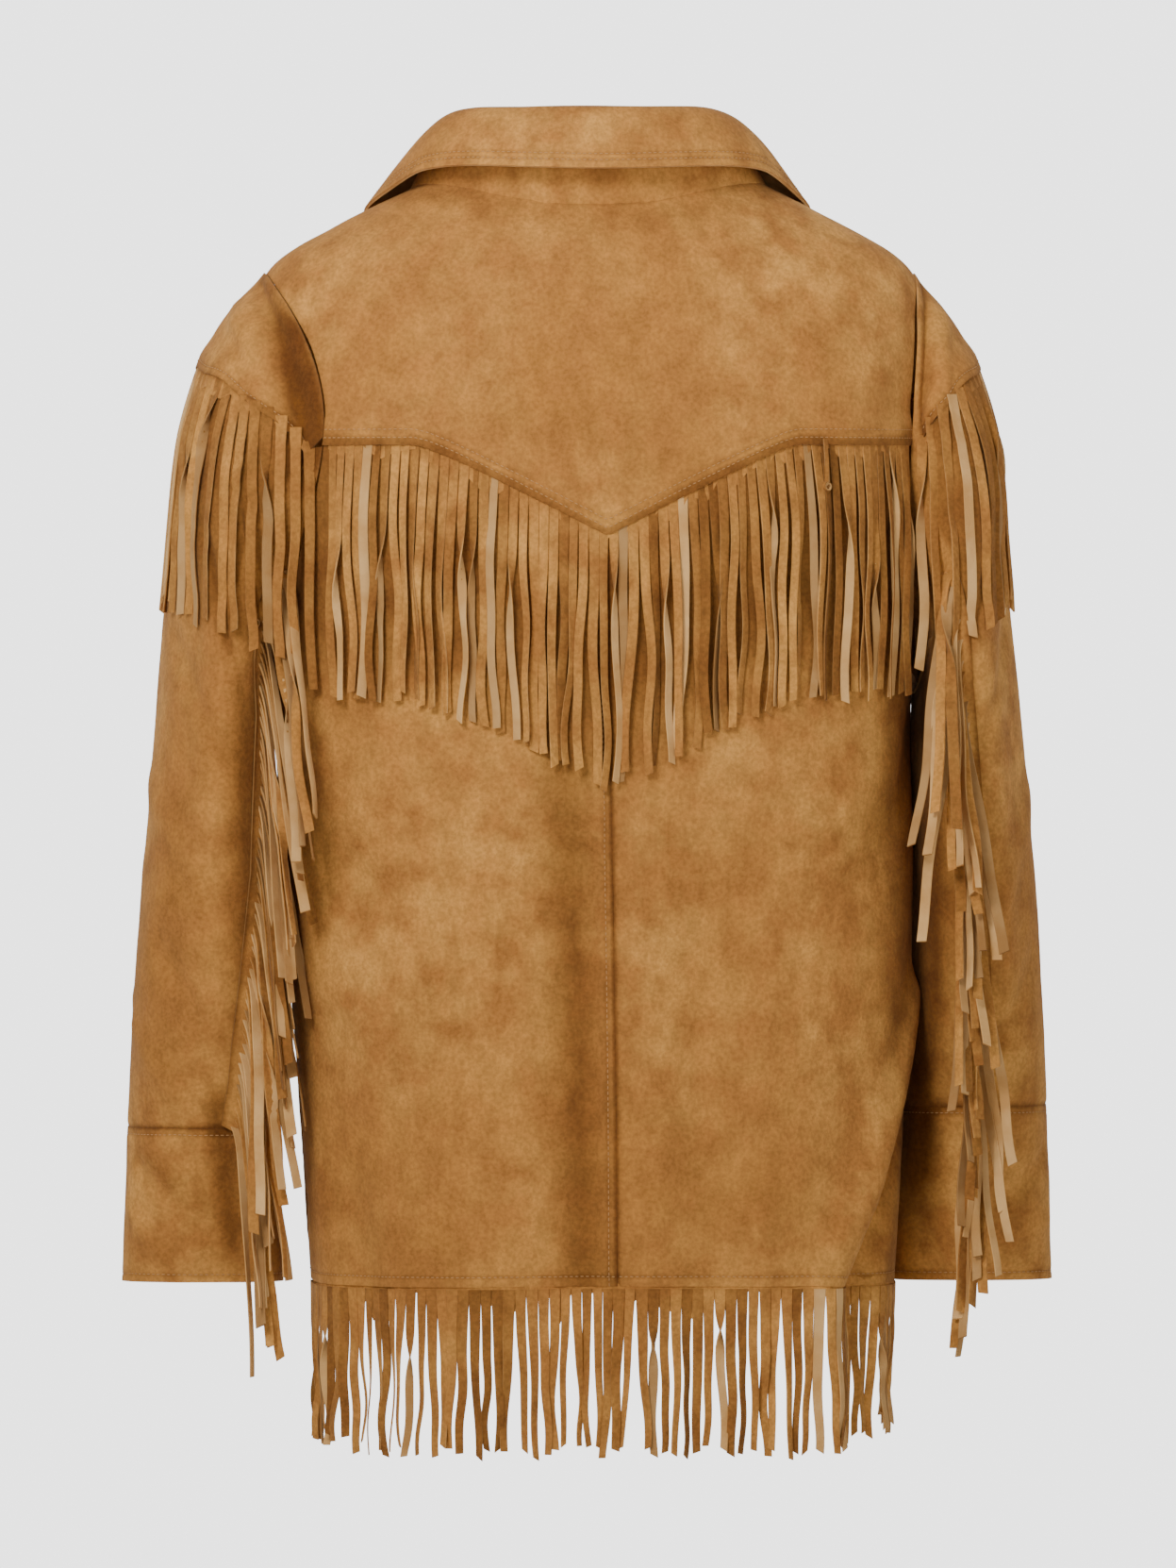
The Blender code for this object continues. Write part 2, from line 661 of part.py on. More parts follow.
def sleeve_turns(side):
    """The turns of the sleeve's columns, from its back seam round by the front and back to it."""
    back, yoke, front = armhole_marks(side)
    seam = side.seam_turns[0]
    turns = [turn for turn in back if turn <= seam + TURN_SLACK] + yoke[1:] + front[1:]
    return turns + [turn - 360 for turn in back[1:] if turn >= seam - TURN_SLACK]


def under_cap(side, turn):
    """Whether the sleeve cap covers the top of the sleeve at this turn."""
    return CAP_FRONT_TURN - TURN_SLACK <= turn <= armhole_marks(side)[0][-1] + TURN_SLACK


def sleeve_faces(side, places):
    """The outer face of a sleeve piece from a grid of (turn, level) places, and its outward normals."""
    outer = np.array([[sleeve_point(side, *place) for place in row] for row in places])
    out = np.array([[sleeve_out(side, *place) for place in row] for row in places])
    return outer, out


def sleeve_body(side):
    """The sleeve, one panel wrapped round the arm to its fringed back seam."""
    columns = []
    for turn in sleeve_turns(side):
        start = cap_level(side, turn) if under_cap(side, turn) else 0.0
        swing = (1 + math.cos(math.radians(turn - side.seam_turns[0]))) / 2
        column = []
        for share in np.linspace(0, 1, SLEEVE_ROWS + 1):
            level = start + (side.cuff_start - start) * share
            shifted = turn + (seam_turn(side, level) - seam_turn(side, start)) * swing
            column.append((shifted, level))
        columns.append(column)
    places = [list(row) for row in zip(*columns)]
    outer, out = sleeve_faces(side, places)
    outer = inset(outer)
    wall("sleeve_" + side.name, outer - out * WALL, outer, SUEDE)


def sleeve_cap(side):
    """The crescent that carries the yoke line over the top of the sleeve."""
    turns = [turn for turn in sleeve_turns(side) if under_cap(side, turn)]
    places = [
        [(turn, cap_level(side, turn) * share) for turn in turns] for share in np.linspace(0, 1, CAP_ROWS + 1)
    ]
    outer, out = sleeve_faces(side, places)
    outer = inset(outer)
    wall("sleeve_cap_" + side.name, outer - out * WALL, outer, SUEDE)


def cuff(side):
    """The cuff, a plain band sewn to the sleeve's end."""
    turns = np.linspace(0, 360, CUFF_COLUMNS + 1)[:-1]
    levels = np.linspace(side.cuff_start, WRIST, CUFF_ROWS + 1)
    places = [[(turn, level) for turn in turns] for level in levels]
    outer, out = sleeve_faces(side, places)
    outer = inset(outer, (True, False), (False, False))
    wall("cuff_" + side.name, outer - out * WALL, outer, SUEDE, closed=True)


def comb(name, count, strand_share, levels, strip, strand):
    """A fringe in one piece: a narrow strip with strands that stand apart below it.

    strip(along, row, face) gives the strip's corners, strand(index, edge, level, face) a strand's."""
    mesh = bmesh.new()
    margin = (1 - strand_share) / 2
    stations = [0.0]
    for index in range(count):
        stations += [(index + margin) / count, (index + 1 - margin) / count]
    stations.append(1.0)
    corners = {
        (station, row, face): mesh.verts.new(strip(along, row, face))
        for station, along in enumerate(stations)
        for row in (0, 1)
        for face in (0, 1)
    }
    for station in range(len(stations) - 1):
        after = station + 1
        for face in (0, 1):
            mesh.faces.new(
                (
                    corners[station, 0, face],
                    corners[after, 0, face],
                    corners[after, 1, face],
                    corners[station, 1, face],
                )
            )
        rows = (0, 1) if station % 2 == 0 else (0,)
        for row in rows:
            mesh.faces.new(
                (
                    corners[station, row, 0],
                    corners[after, row, 0],
                    corners[after, row, 1],
                    corners[station, row, 1],
                )
            )
        if station % 2 == 1:
            index = station // 2
            around = ((station, 0), (after, 0), (after, 1), (station, 1))
            ring = [corners[place, 1, face] for place, face in around]
            for level in range(1, levels + 1):
                lower = [
                    mesh.verts.new(strand(index, edge, level, face))
                    for edge, face in ((0, 0), (1, 0), (1, 1), (0, 1))
                ]
                for corner in range(4):
                    after_corner = (corner + 1) % 4
                    mesh.faces.new((ring[corner], ring[after_corner], lower[after_corner], lower[corner]))
                ring = lower
            mesh.faces.new(ring)
    for station in (0, len(stations) - 1):
        mesh.faces.new(
            (
                corners[station, 0, 0],
                corners[station, 0, 1],
                corners[station, 1, 1],
                corners[station, 1, 0],
            )
        )
    finish(name, mesh, SUEDE_FRINGE)


def sway(index, rate):
    """A steady, uneven swing between -1 and 1 for each strand."""
    first, second = math.sin(index * rate + SWAY_START), math.sin(index * rate * SWAY_SECOND_RATE)
    return SWAY_SHARE * first + (1 - SWAY_SHARE) * second


def strand_length(index, length):
    """The length of a strand below its strip, each a little different."""
    return length - FRINGE_STRIP + LENGTH_RANGE * sway(index, LENGTH_RATE)


def strand_lift(index, part):
    """How far a strand stands off the cloth at a share of its length."""
    return (STRAND_LIFT + STRAND_LIFT_RANGE * sway(index, LIFT_RATE)) * math.sqrt(part)


def level_unit(vector):
    """The vector's level part at unit length."""
    level = vector * (1, 1, 0)
    return level / np.linalg.norm(level)


def hang(root, out, push, drop, offset):
    """A point of a strand that falls straight from its root, or is pushed out by the cloth below it."""
    return root + out * (max(0.0, push) + offset) - np.array([0, 0, drop])


def strand_ends(index, count, share):
    """How far along its fringe a strand's two edges are."""
    margin = (1 - share) / 2
    return (index + margin) / count, (index + 1 - margin) / count


def yoke_fringe():
    """The fringe sewn under the yoke's edge."""
    ends = [YOKE_FRINGE_INSET_DEG - corner_of(RIGHT)[0], corner_of(LEFT)[0] - YOKE_FRINGE_INSET_DEG]

    def place(along, drop, offset, swing=0.0):
        girth = ends[0] + (ends[1] - ends[0]) * along
        side = LEFT if girth > 0 else RIGHT
        top = seam_level(side, abs(girth))
        root, out = body_point(girth, top), ring_out(girth)
        level = body_level(girth, root[2] - drop)
        facing = level_unit(body_out(girth, level))
        push = (body_point(girth, level) - root) @ (facing * (1, 1, 0)) / (out @ facing)
        aside = np.array([out[1], -out[0], 0]) * swing
        return aside + hang(root, out, push, drop, WALL + FRINGE_GAP + offset)

    def strip(along, row, face):
        return place(along, LAYER_GAP + row * FRINGE_STRIP, face * FRINGE_THICK)

    def strand(index, edge, level, face):
        along = strand_ends(index, YOKE_STRANDS, YOKE_STRAND_SHARE)[edge]
        part = (level / STRAIGHT_LEVELS) ** STRAND_SPACING
        drop = FRINGE_STRIP + strand_length(index, YOKE_FRINGE_LENGTH) * part
        swing = YOKE_SWING * sway(index, SWING_RATE) * part
        return place(along, drop, strand_lift(index, part) + face * FRINGE_THICK, swing)

    comb("fringe_yoke", YOKE_STRANDS, YOKE_STRAND_SHARE, STRAIGHT_LEVELS, strip, strand)


def hem_fringe():
    """The fringe sewn along the back hem, from side seam to side seam."""
    ends = [HEM_FRINGE_INSET_DEG - SIDE_SEAM_DEG, SIDE_SEAM_DEG - HEM_FRINGE_INSET_DEG]

    def place(along, drop, offset, swing):
        girth = ends[0] + (ends[1] - ends[0]) * along
        out = level_unit(body_out(girth, 0))
        aside = np.array([out[1], -out[0], 0])
        return body_point(girth, 0) + out * offset + aside * swing - np.array([0, 0, drop])

    def strip(along, row, face):
        return place(along, 2 * LAYER_GAP + row * FRINGE_STRIP, face * FRINGE_THICK, 0)

    def strand(index, edge, level, face):
        along = strand_ends(index, HEM_STRANDS, HEM_STRAND_SHARE)[edge]
        part = (level / STRAIGHT_LEVELS) ** STRAND_SPACING
        drop = FRINGE_STRIP + strand_length(index, HEM_FRINGE_LENGTH) * part
        swing = HEM_SWING * sway(index, SWING_RATE) * part
        spread = HEM_SPREAD * sway(index, SPREAD_RATE) * part**2
        return place(along, drop, face * FRINGE_THICK + spread, swing)

    comb("fringe_hem", HEM_STRANDS, HEM_STRAND_SHARE, STRAIGHT_LEVELS, strip, strand)


def sleeve_push(side, turn, root, drop):
    """How far the sleeve stands out beyond a strand's root, straight in front of it and a drop below."""
    out = arm_out(side, turn)
    aside = np.array([-out[1], out[0], 0]) * side.sign
    near = [turn + step for step in SLEEVE_PROBE_TURNS]
    cloth = [sleeve_point(side, one, sleeve_level(side, one, root[2] - drop)) - root for one in near]
    return np.interp(0, [point @ aside for point in cloth], [point @ out for point in cloth])


def cap_fringe(side):
    """The fringe that carries the yoke's line over the sleeve."""
    ends = [CAP_FRONT_TURN + CAP_FRINGE_INSET_DEG, armhole_marks(side)[0][-1] + side.cap_fringe_deg]

    def place(along, drop, offset):
        turn = ends[0] + (ends[1] - ends[0]) * along
        top = cap_level(side, turn)
        root, out = sleeve_point(side, turn, top), arm_out(side, turn)
        return hang(root, out, sleeve_push(side, turn, root, drop), drop, CAP_FRINGE_GAP + offset)

    def strip(along, row, face):
        return place(along, 2 * LAYER_GAP + row * FRINGE_STRIP, face * FRINGE_THICK)

    def strand(index, edge, level, face):
        along = strand_ends(index, CAP_STRANDS, CAP_STRAND_SHARE)[edge]
        part = (level / BENT_LEVELS) ** STRAND_SPACING
        drop = FRINGE_STRIP + strand_length(index, CAP_FRINGE_LENGTH) * part
        return place(along, drop, strand_lift(index, part) + face * FRINGE_THICK)

    comb("fringe_cap_" + side.name, CAP_STRANDS, CAP_STRAND_SHARE, BENT_LEVELS, strip, strand)


def seam_frame(side, level):
    """A point of the sleeve's back seam, its outward normal and its level direction towards the body."""
    turn = seam_turn(side, level)
    out = sleeve_out(side, turn, level)
    across = np.cross((0, 0, -1.0), out)
    across /= np.linalg.norm(across)
    before, after = (sleeve_point(side, turn + step, level) for step in (-SEAM_PROBE_DEG, SEAM_PROBE_DEG))
    return sleeve_point(side, turn, level), out, across if across @ (after - before) > 0 else -across


@lru_cache(maxsize=None)
def seam_level_at(side, along):
    """Sleeve level at a share of the height of the fringed part of the back seam."""
    start, end = side.seam_fringe_start, side.cuff_start - SEAM_FRINGE_INSET
    heights = [sleeve_point(side, seam_turn(side, level), level)[2] for level in (start, end)]
    target = heights[0] + (heights[1] - heights[0]) * along
    return solve(lambda level: sleeve_point(side, seam_turn(side, level), level)[2], target, start, end)


def seam_fringe(side):
    """The fringe down the sleeve's back seam. Each strand turns down and lies over the next."""

    def strip(along, row, face):
        point, out, across = seam_frame(side, seam_level_at(side, along))
        return point + across * SEAM_HALF_STRIP * (2 * row - 1) + out * (2 * LAYER_GAP + face * FRINGE_THICK)

    def strand(index, edge, level, face):
        upper, lower = strand_ends(index, SEAM_STRANDS, SEAM_STRAND_SHARE)
        foot, top = strip(lower, 1, face), strip(upper, 1, face)
        out, across = seam_frame(side, seam_level_at(side, lower))[1:]
        aside = SEAM_BEND + (1 - edge) * np.linalg.norm(top - foot)
        part = (level - 1) / (BENT_LEVELS - 1)
        length = part * (SEAM_FRINGE_LENGTH + LENGTH_RANGE * sway(index, LENGTH_RATE))
        lean = side.lean * (LEAST_LEAN + (1 - LEAST_LEAN) * lower) + LEAN_RANGE * sway(index, LEAN_RATE)
        shingle = side.shingle + TOP_SHINGLE * (1 - lower) ** 3
        outward = out * SEAM_STANDING + level_unit(out + np.array([0, 1, 0])) * shingle * length
        return foot + across * (aside + lean * length) + outward - np.array([0, 0, SEAM_BEND + length])

    comb("fringe_sleeve_" + side.name, SEAM_STRANDS, SEAM_STRAND_SHARE, BENT_LEVELS, strip, strand)


def button(index, height):
    """A flat round button on the lapping front, its edge eased."""
    level = body_level(180, height)
    out = body_out(180, level)
    seat = body_point(180, level) + out * (2 * WALL + LAP_GAP + LAYER_GAP)
    mesh = bmesh.new()
    places = [(radius * BUTTON_RADIUS, 0, rise * BUTTON_THICK) for radius, rise in BUTTON_PROFILE]
    corners = [mesh.verts.new(place) for place in places]
    edges = [mesh.edges.new(pair) for pair in zip(corners, corners[1:])]
    bmesh.ops.spin(
        mesh,
        geom=corners + edges,
        cent=(0, 0, 0),
        axis=(0, 0, 1),
        angle=math.tau,
        steps=BUTTON_STEPS,
        use_merge=True,
    )
    bmesh.ops.remove_doubles(mesh, verts=mesh.verts, dist=0.01 * MM)
    name = f"button_{index + 1}"
    finish(name, mesh, HORN)
    thing = bpy.data.objects[name]
    thing.location = seat
    thing.rotation_mode = "QUATERNION"
    across = np.array([1.0, 0, 0])
    across -= out * (across @ out)
    across /= np.linalg.norm(across)
    up = np.cross(out, across)
    thing.rotation_quaternion = quaternion_of(across, up, out)


def quaternion_of(first, second, third):
    """The turn that carries the axes to three unit vectors."""
    return Matrix([[first[row], second[row], third[row]] for row in range(3)]).to_quaternion()


def main():
    for thing in list(bpy.data.objects):
        bpy.data.objects.remove(thing)
    yoke_panel()
    collar_stand()
    collar_leaf()
    yoke_fringe()
    hem_fringe()
    for side in SIDES:
        back_panel(side)
        front_panel(side)
        sleeve_body(side)
        sleeve_cap(side)
        cuff(side)
        cap_fringe(side)
        seam_fringe(side)
    for index in range(BUTTON_COUNT):
        button(index, TOP_BUTTON_LEVEL - index * BUTTON_PITCH)


main()
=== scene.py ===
import json
import math
import random
import bpy
import numpy as np
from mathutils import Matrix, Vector, noise

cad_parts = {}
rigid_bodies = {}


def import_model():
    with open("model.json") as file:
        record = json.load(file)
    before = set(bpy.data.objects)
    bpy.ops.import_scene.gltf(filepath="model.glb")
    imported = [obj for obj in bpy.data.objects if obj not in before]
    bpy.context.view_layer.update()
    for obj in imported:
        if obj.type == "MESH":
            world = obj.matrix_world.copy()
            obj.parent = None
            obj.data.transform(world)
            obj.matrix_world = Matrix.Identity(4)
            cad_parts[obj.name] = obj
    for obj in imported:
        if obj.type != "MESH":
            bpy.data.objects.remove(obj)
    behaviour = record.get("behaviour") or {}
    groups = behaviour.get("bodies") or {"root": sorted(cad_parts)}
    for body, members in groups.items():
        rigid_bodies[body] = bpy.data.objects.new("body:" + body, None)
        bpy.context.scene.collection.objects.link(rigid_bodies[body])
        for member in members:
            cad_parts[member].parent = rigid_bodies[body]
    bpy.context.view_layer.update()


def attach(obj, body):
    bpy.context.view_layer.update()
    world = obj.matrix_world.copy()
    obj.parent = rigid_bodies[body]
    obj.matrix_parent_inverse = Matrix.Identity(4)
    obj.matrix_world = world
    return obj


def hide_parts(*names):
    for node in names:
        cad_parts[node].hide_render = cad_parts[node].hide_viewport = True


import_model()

mm = 0.001
wall = 1.5 * mm
rng = random.Random(11)

# ---- the cut, the same sizes as the solids ----
bodyRings = np.array([    # back z, side z, front z, half width, back y, front y, shift, squareness
    (-650, -650, -640, 175, 128, 126, -9, 2.5),
    (-540, -540, -532, 182, 132, 130, -8, 2.5),
    (-420, -420, -414, 189, 134, 131, -6, 2.5),
    (-300, -300, -297, 191, 137, 131, -3, 2.6),
    (-200, -195, -205, 194, 137, 128, -1, 2.7),
    (-138, -128, -165, 200, 131, 121, 0, 2.7),
    (-92, -76, -140, 203, 121, 112, 0, 2.5),
    (-56, -44, -118, 193, 110, 104, 0, 2.3),
    (-26, -22, -97, 158, 97, 95, 0, 2.1),
    (0, 5, -75, 104, 80, 86, 0, 2.0)], float)
neck = 9.0
rollLine = np.array([54, 36, -50, 89, 76, 79, 2, 2.15], float)
leafEdgeRing = np.array([20, -8, -128, 122, 101, 122, 1, 2.1], float)
sleeveRings = np.array([    # outer x, outer z, inner x left, inner x right, inner z, middle y, depth left, depth right
    (218, -66, 195, 200, -290, 2, 80, 76),
    (234, -95, 195, 198, -295, 2, 82, 81),
    (245, -135, 195, 197, -301, 2, 83, 84),
    (251, -190, 195, 197, -308, 1, 82, 84),
    (256, -245, 194, 196, -320, 0, 80, 83),
    (263, -320, 193, 195, -352, -1, 77, 80),
    (269, -395, 192, 194, -405, -3, 73, 76),
    (274, -480, 190, 192, -482, -10, 66, 68),
    (277, -560, 187, 188, -560, -19, 52, 53),
    (279.5, -652, 183, 183, -652, -28, 36, 37)], float)
wrist = 10.0
sideSeam, shoulderSeam, armMiddle = 96.0, 101.0, 92.0
left = dict(name="left", title="Left", sign=1, backDeg=48.5, frontDeg=118.0, round=1.9, capPeak=2.03, cuffStart=8.98,
            flare=1.5, sweep=0.04, seamTurns=(122.0, 134.0, 130.0, 106.0), seamStart=0.5, lean=0.04, shingle=0.17)
right = dict(name="right", title="Right", sign=-1, backDeg=63.0, frontDeg=118.0, round=2.3, capPeak=2.03, cuffStart=8.83,
             flare=5.0, sweep=0.14, seamTurns=(106.0, 98.0, 92.0, 86.0), seamStart=2.2, lean=-0.05, shingle=0.15)
seamLevels = (0.0, 5.0, 7.0, 9.0)

# folds and creases: place at the start, place at the end, lift in mm, half width in mm
bodyFolds = [    # degrees round the body and height in m
    (8, -0.40, 7, -0.68, -8, 22), (-15, -0.46, -19, -0.68, -5, 24), (-76, -0.48, -40, -0.66, 8, 15),
    (-86, -0.48, -49, -0.68, -13, 15), (60, -0.50, 53, -0.68, -6, 24), (74, -0.32, 44, -0.42, -4, 20),
    (-76, -0.32, -48, -0.41, -4, 20), (138, -0.36, 132, -0.66, -5, 24), (-140, -0.38, -134, -0.66, -5, 24)]
bodyCreases = [
    (5, -0.34, 4, -0.65, -3.2, 10), (13, -0.42, 11, -0.62, -1.6, 12), (1.6, -0.34, 1.6, -0.64, 2.0, 6),
    (-9, -0.40, -10, -0.60, 1.6, 11),
    (-24, -0.44, -28, -0.64, 2.0, 14), (30, -0.46, 27, -0.64, 1.8, 16), (44, -0.52, 38, -0.65, -2.0, 12),
    (-50, -0.52, -36, -0.64, -1.2, 10), (-63, -0.44, -52, -0.60, 1.2, 11), (66, -0.40, 58, -0.56, 1.5, 13),
    (-60, -0.34, -40, -0.375, 1.2, 10), (58, -0.36, 36, -0.40, 1.2, 11), (20, -0.06, 16, -0.14, -0.8, 13),
    (-28, -0.05, -34, -0.13, -0.9, 14), (46, -0.06, 58, -0.11, -1.0, 11), (-52, -0.07, -60, -0.12, -1.0, 11),
    (112, -0.30, 134, -0.40, -2.0, 13), (-112, -0.30, -136, -0.39, -2.0, 13), (118, -0.42, 140, -0.50, 1.5, 12),
    (-120, -0.44, -144, -0.52, 1.6, 13), (150, -0.26, 146, -0.48, 1.4, 14), (-152, -0.28, -147, -0.50, 1.4, 14),
    (125, -0.10, 134, -0.20, -1.2, 12), (-126, -0.10, -136, -0.20, -1.2, 12), (96, -0.36, 92, -0.60, -1.6, 12),
    (-92, -0.34, -90, -0.46, -1.6, 12)]
paintedBodyShades = [    # the same places with a depth of painted shade, for folds, troughs and gaps that lie in shadow, and a few broad darker patches
    (8.5, -0.33, 6.5, -0.66, 0.85, 15), (-11, -0.36, -16, -0.64, 0.16, 30), (-88, -0.53, -62, -0.68, 0.5, 8),
    (-98, -0.56, -68, -0.68, 0.6, 12),
    (-92, -0.28, -98, -0.50, 0.2, 12), (88, -0.28, 92, -0.64, 0.4, 12),
    (60, -0.60, 30, -0.66, 0.22, 24), (-30, -0.60, -48, -0.65, 0.2, 24), (-30, -0.14, -40, -0.16, 0.1, 20),
    (10, -0.12, -14, -0.17, 0.16, 22), (24, -0.44, 34, -0.50, 0.16, 22),
    (130, -0.34, 128, -0.62, 0.3, 20), (-132, -0.34, -128, -0.62, 0.3, 20), (44, -0.32, 40, -0.60, 0.08, 55)]
# painted shade on the sleeves, listed like their folds: the dark armhole fold, the inner sides in shadow, cuff creases
# and broad darker patches
paintedSleeveShades = {
    "left": [(22, 0.12, 66, 0.2, 0.7, 12), (60, 0.16, 100, 0.12, 1.0, 13), (80, 0.3, 100, 0.16, 0.6, 12), (112, 5.0, 128, 8.6, 0.6, 14),
             (66, 3.7, 90, 4.4, 0.3, 12), (36, 5.2, 92, 5.9, 0.2, 12), (30, 9.15, 84, 9.5, 0.35, 6), (98, 8.8, 108, 9.65, 0.9, 10),
             (24, 9.65, 60, 9.85, 0.25, 5), (50, 6.6, 60, 8.6, 0.2, 14),
             (30, 1.6, 40, 8.4, 0.14, 40)],
    "right": [(20, 0.2, 88, 0.3, 0.5, 9), (146, 0.8, 138, 9.2, 1.5, 20), (60, 3.8, 84, 4.3, 0.2, 12),
              (30, 5.1, 78, 5.8, 0.2, 12), (40, 6.6, 46, 8.6, 0.2, 14), (30, 9.3, 80, 9.6, 0.25, 7)]}
sleeveFolds = {    # degrees about the arm and level down the sleeve
    "left": [(26, 0.26, 96, 0.24, -6, 10), (30, 0.75, 88, 0.68, 5, 15), (52, 4.6, 60, 7.8, -4, 20), (-60, 5.6, -20, 6.6, -4, 19)],
    "right": [(30, 0.26, 84, 0.28, -5, 9), (30, 0.75, 70, 0.7, 3, 14), (40, 4.2, 46, 7.6, -4, 19), (-60, 5.8, -20, 6.7, -4, 19)]}
sleeveCreases = {
    "left": [
        (34, 1.0, 62, 0.75, -2.0, 8), (8, 0.8, 40, 1.1, 1.4, 9),
        (64, 3.6, 92, 4.4, -2.6, 9), (30, 5.2, 96, 5.9, -2.4, 8), (10, 6.4, 70, 7.0, 1.8, 9),
        (40, 7.6, 100, 8.3, -2.6, 7), (12, 8.2, 64, 8.7, 1.8, 7), (84, 8.0, 118, 8.8, 2.0, 7),
        (30, 9.25, 84, 9.6, -2.2, 5), (64, 9.05, 104, 9.35, -1.8, 5), (14, 9.5, 56, 9.8, 1.4, 5),
        (-110, 4.6, -40, 5.3, -2.2, 9), (-100, 6.0, -30, 6.9, -2.0, 8), (-80, 7.4, -20, 8.0, 1.8, 8),
        (-150, 3.4, -90, 3.9, -2.0, 9), (-170, 5.2, -120, 6.2, -1.8, 9), (20, 2.9, 50, 3.8, 1.2, 10)],
    "right": [
        (52, 3.7, 84, 4.3, -2.4, 9), (26, 5.0, 80, 5.8, -2.4, 8), (14, 6.5, 70, 7.3, 1.8, 9),
        (30, 9.2, 80, 9.5, -1.6, 5), (20, 9.6, 60, 9.75, 1.2, 5),
        (30, 7.7, 84, 8.4, -1.8, 7), (-106, 4.7, -36, 5.5, -2.0, 9), (-96, 6.1, -28, 6.8, -2.0, 8),
        (-84, 7.3, -24, 8.1, 1.6, 8), (-150, 3.5, -90, 4.0, -2.0, 9), (-168, 5.4, -118, 6.0, -1.8, 9)]}


def smooth(share):
    share = np.clip(share, 0, 1)
    return share * share * (3 - 2 * share)


def through(values, level):
    """Catmull-Rom through the rows of values; values may have one column of rows per level."""
    values = np.asarray(values, float)
    level = np.clip(np.asarray(level, float), 0, len(values) - 1)
    index = np.minimum(level.astype(int), len(values) - 2)
    share = (level - index)[..., None]
    padded = np.concatenate([[2 * values[0] - values[1]], values, [2 * values[-1] - values[-2]]])
    if values.ndim == 2:
        before, start, end, after = (padded[index + step] for step in range(4))
    else:
        one = np.arange(values.shape[1])
        before, start, end, after = (padded[index + step, one] for step in range(4))
    return 0.5 * (2 * start + (end - before) * share + (2 * before - 5 * start + 4 * end - after) * share**2
                  + (3 * start - before - 3 * end + after) * share**3)


def unit(vectors):
    return vectors / np.maximum(np.linalg.norm(vectors, axis=-1, keepdims=True), 1e-12)


def superRound(angle, power):
    sine, cosine = np.sin(np.radians(angle)), np.cos(np.radians(angle))
    even = (np.abs(sine)**power + np.abs(cosine)**power)**(-1 / power)
    return sine * even, cosine * even, cosine


def sectionPoint(ring, girth):
    across, along, cosine = superRound(girth, ring[..., 7])
    depth = np.where(cosine > 0, ring[..., 4], ring[..., 5])
    tilt = (ring[..., 0] - ring[..., 2]) / 2
    rise = (ring[..., 0] + ring[..., 2]) / 2 - ring[..., 1]
    height = ring[..., 1] + tilt * cosine + rise * cosine**2
    return mm * np.stack([ring[..., 6] + ring[..., 3] * across, depth * along, height], -1)


def foldLift(folds, across, along, radius, step):
    place = np.stack([np.radians(across) * radius, along * step], -1)
    lift = np.zeros(place.shape[:-1])
    for a0, l0, a1, l1, height, reach in folds:
        start = np.array([math.radians(a0) * radius, l0 * step])
        way = np.array([math.radians(a1) * radius, l1 * step]) - start
        share = np.clip((place - start) @ way / (way @ way), 0, 1)
        gap = np.linalg.norm(place - start - share[..., None] * way, axis=-1)
        lift += height * mm * np.exp(-(gap / (reach * mm))**2)
    return lift


def ringOut(girth):
    girth = np.radians(girth)
    return np.stack([np.sin(girth), np.cos(girth), 0 * girth], -1)


def bodyPoint(girth, level, fine=True):
    girth, level = np.broadcast_arrays(np.asarray(girth, float), np.asarray(level, float))
    point = sectionPoint(through(bodyRings, level), girth)
    folds = bodyFolds + bodyCreases if fine else bodyFolds
    return point + ringOut(girth) * foldLift(folds, girth, point[..., 2], 0.16, 1.0)[..., None]


def bisect(function, target, low, high):
    low, high = np.broadcast_arrays(np.asarray(low, float), np.asarray(high, float))
    low, high = low.copy(), high.copy()
    rising = function(high) > function(low)
    for _ in range(26):
        middle = (low + high) / 2
        up = (function(middle) < target) == rising
        low, high = np.where(up, middle, low), np.where(up, high, middle)
    return (low + high) / 2


def bodyLevel(girth, height):
    girth = np.asarray(girth, float)
    return bisect(lambda level: sectionPoint(through(bodyRings, level), girth)[..., 2], height,
                  np.zeros_like(girth), np.full_like(girth, neck))


def bodyOut(girth, level):
    girth, level = np.broadcast_arrays(np.asarray(girth, float), np.asarray(level, float))
    step = np.where(level < 1, 0.01, -0.01)
    here = bodyPoint(girth, level, False)
    normal = unit(np.cross(bodyPoint(girth + 0.3, level, False) - here, bodyPoint(girth, level + step, False) - here))
    outward = ringOut(girth) + np.array([0, 0, 0.6])
    return normal * np.sign((normal * outward).sum(-1, keepdims=True))


def armhole(side, turn):
    across, along, _ = superRound(turn, side["round"])
    width = np.where(across > 0, armMiddle - side["backDeg"], side["frontDeg"] - armMiddle)
    return side["sign"] * (armMiddle - width * across), 5.05 + 1.9 * along


def yokeHeight(across, lap=0.0):
    share = np.clip(1 - np.abs(across + 0.002) / 0.117, 0, 1)
    return -0.141 - lap - 0.054 * 1.12 * share**2 / (share + 0.12)


def yokeLevels(lap):
    """Level of the yoke's edge over the girth, as a table."""
    girth = np.linspace(-80, 80, 321)

    def above(level):
        point = bodyPoint(girth, level, False)
        return point[..., 2] - yokeHeight(point[..., 0], lap)
    return girth, bisect(above, 0, np.full_like(girth, 3.0), np.full_like(girth, 6.0))


def cornerTurn(side, lap=0.0):
    return float(bisect(lambda turn: bodyPoint(*armhole(side, turn), False)[..., 2], yokeHeight(0.2) - lap, 40.0, 140.0))


def shoulderTurn(side):
    return -float(bisect(lambda turn: np.abs(armhole(side, -turn)[0]), shoulderSeam, 0.0, 60.0))


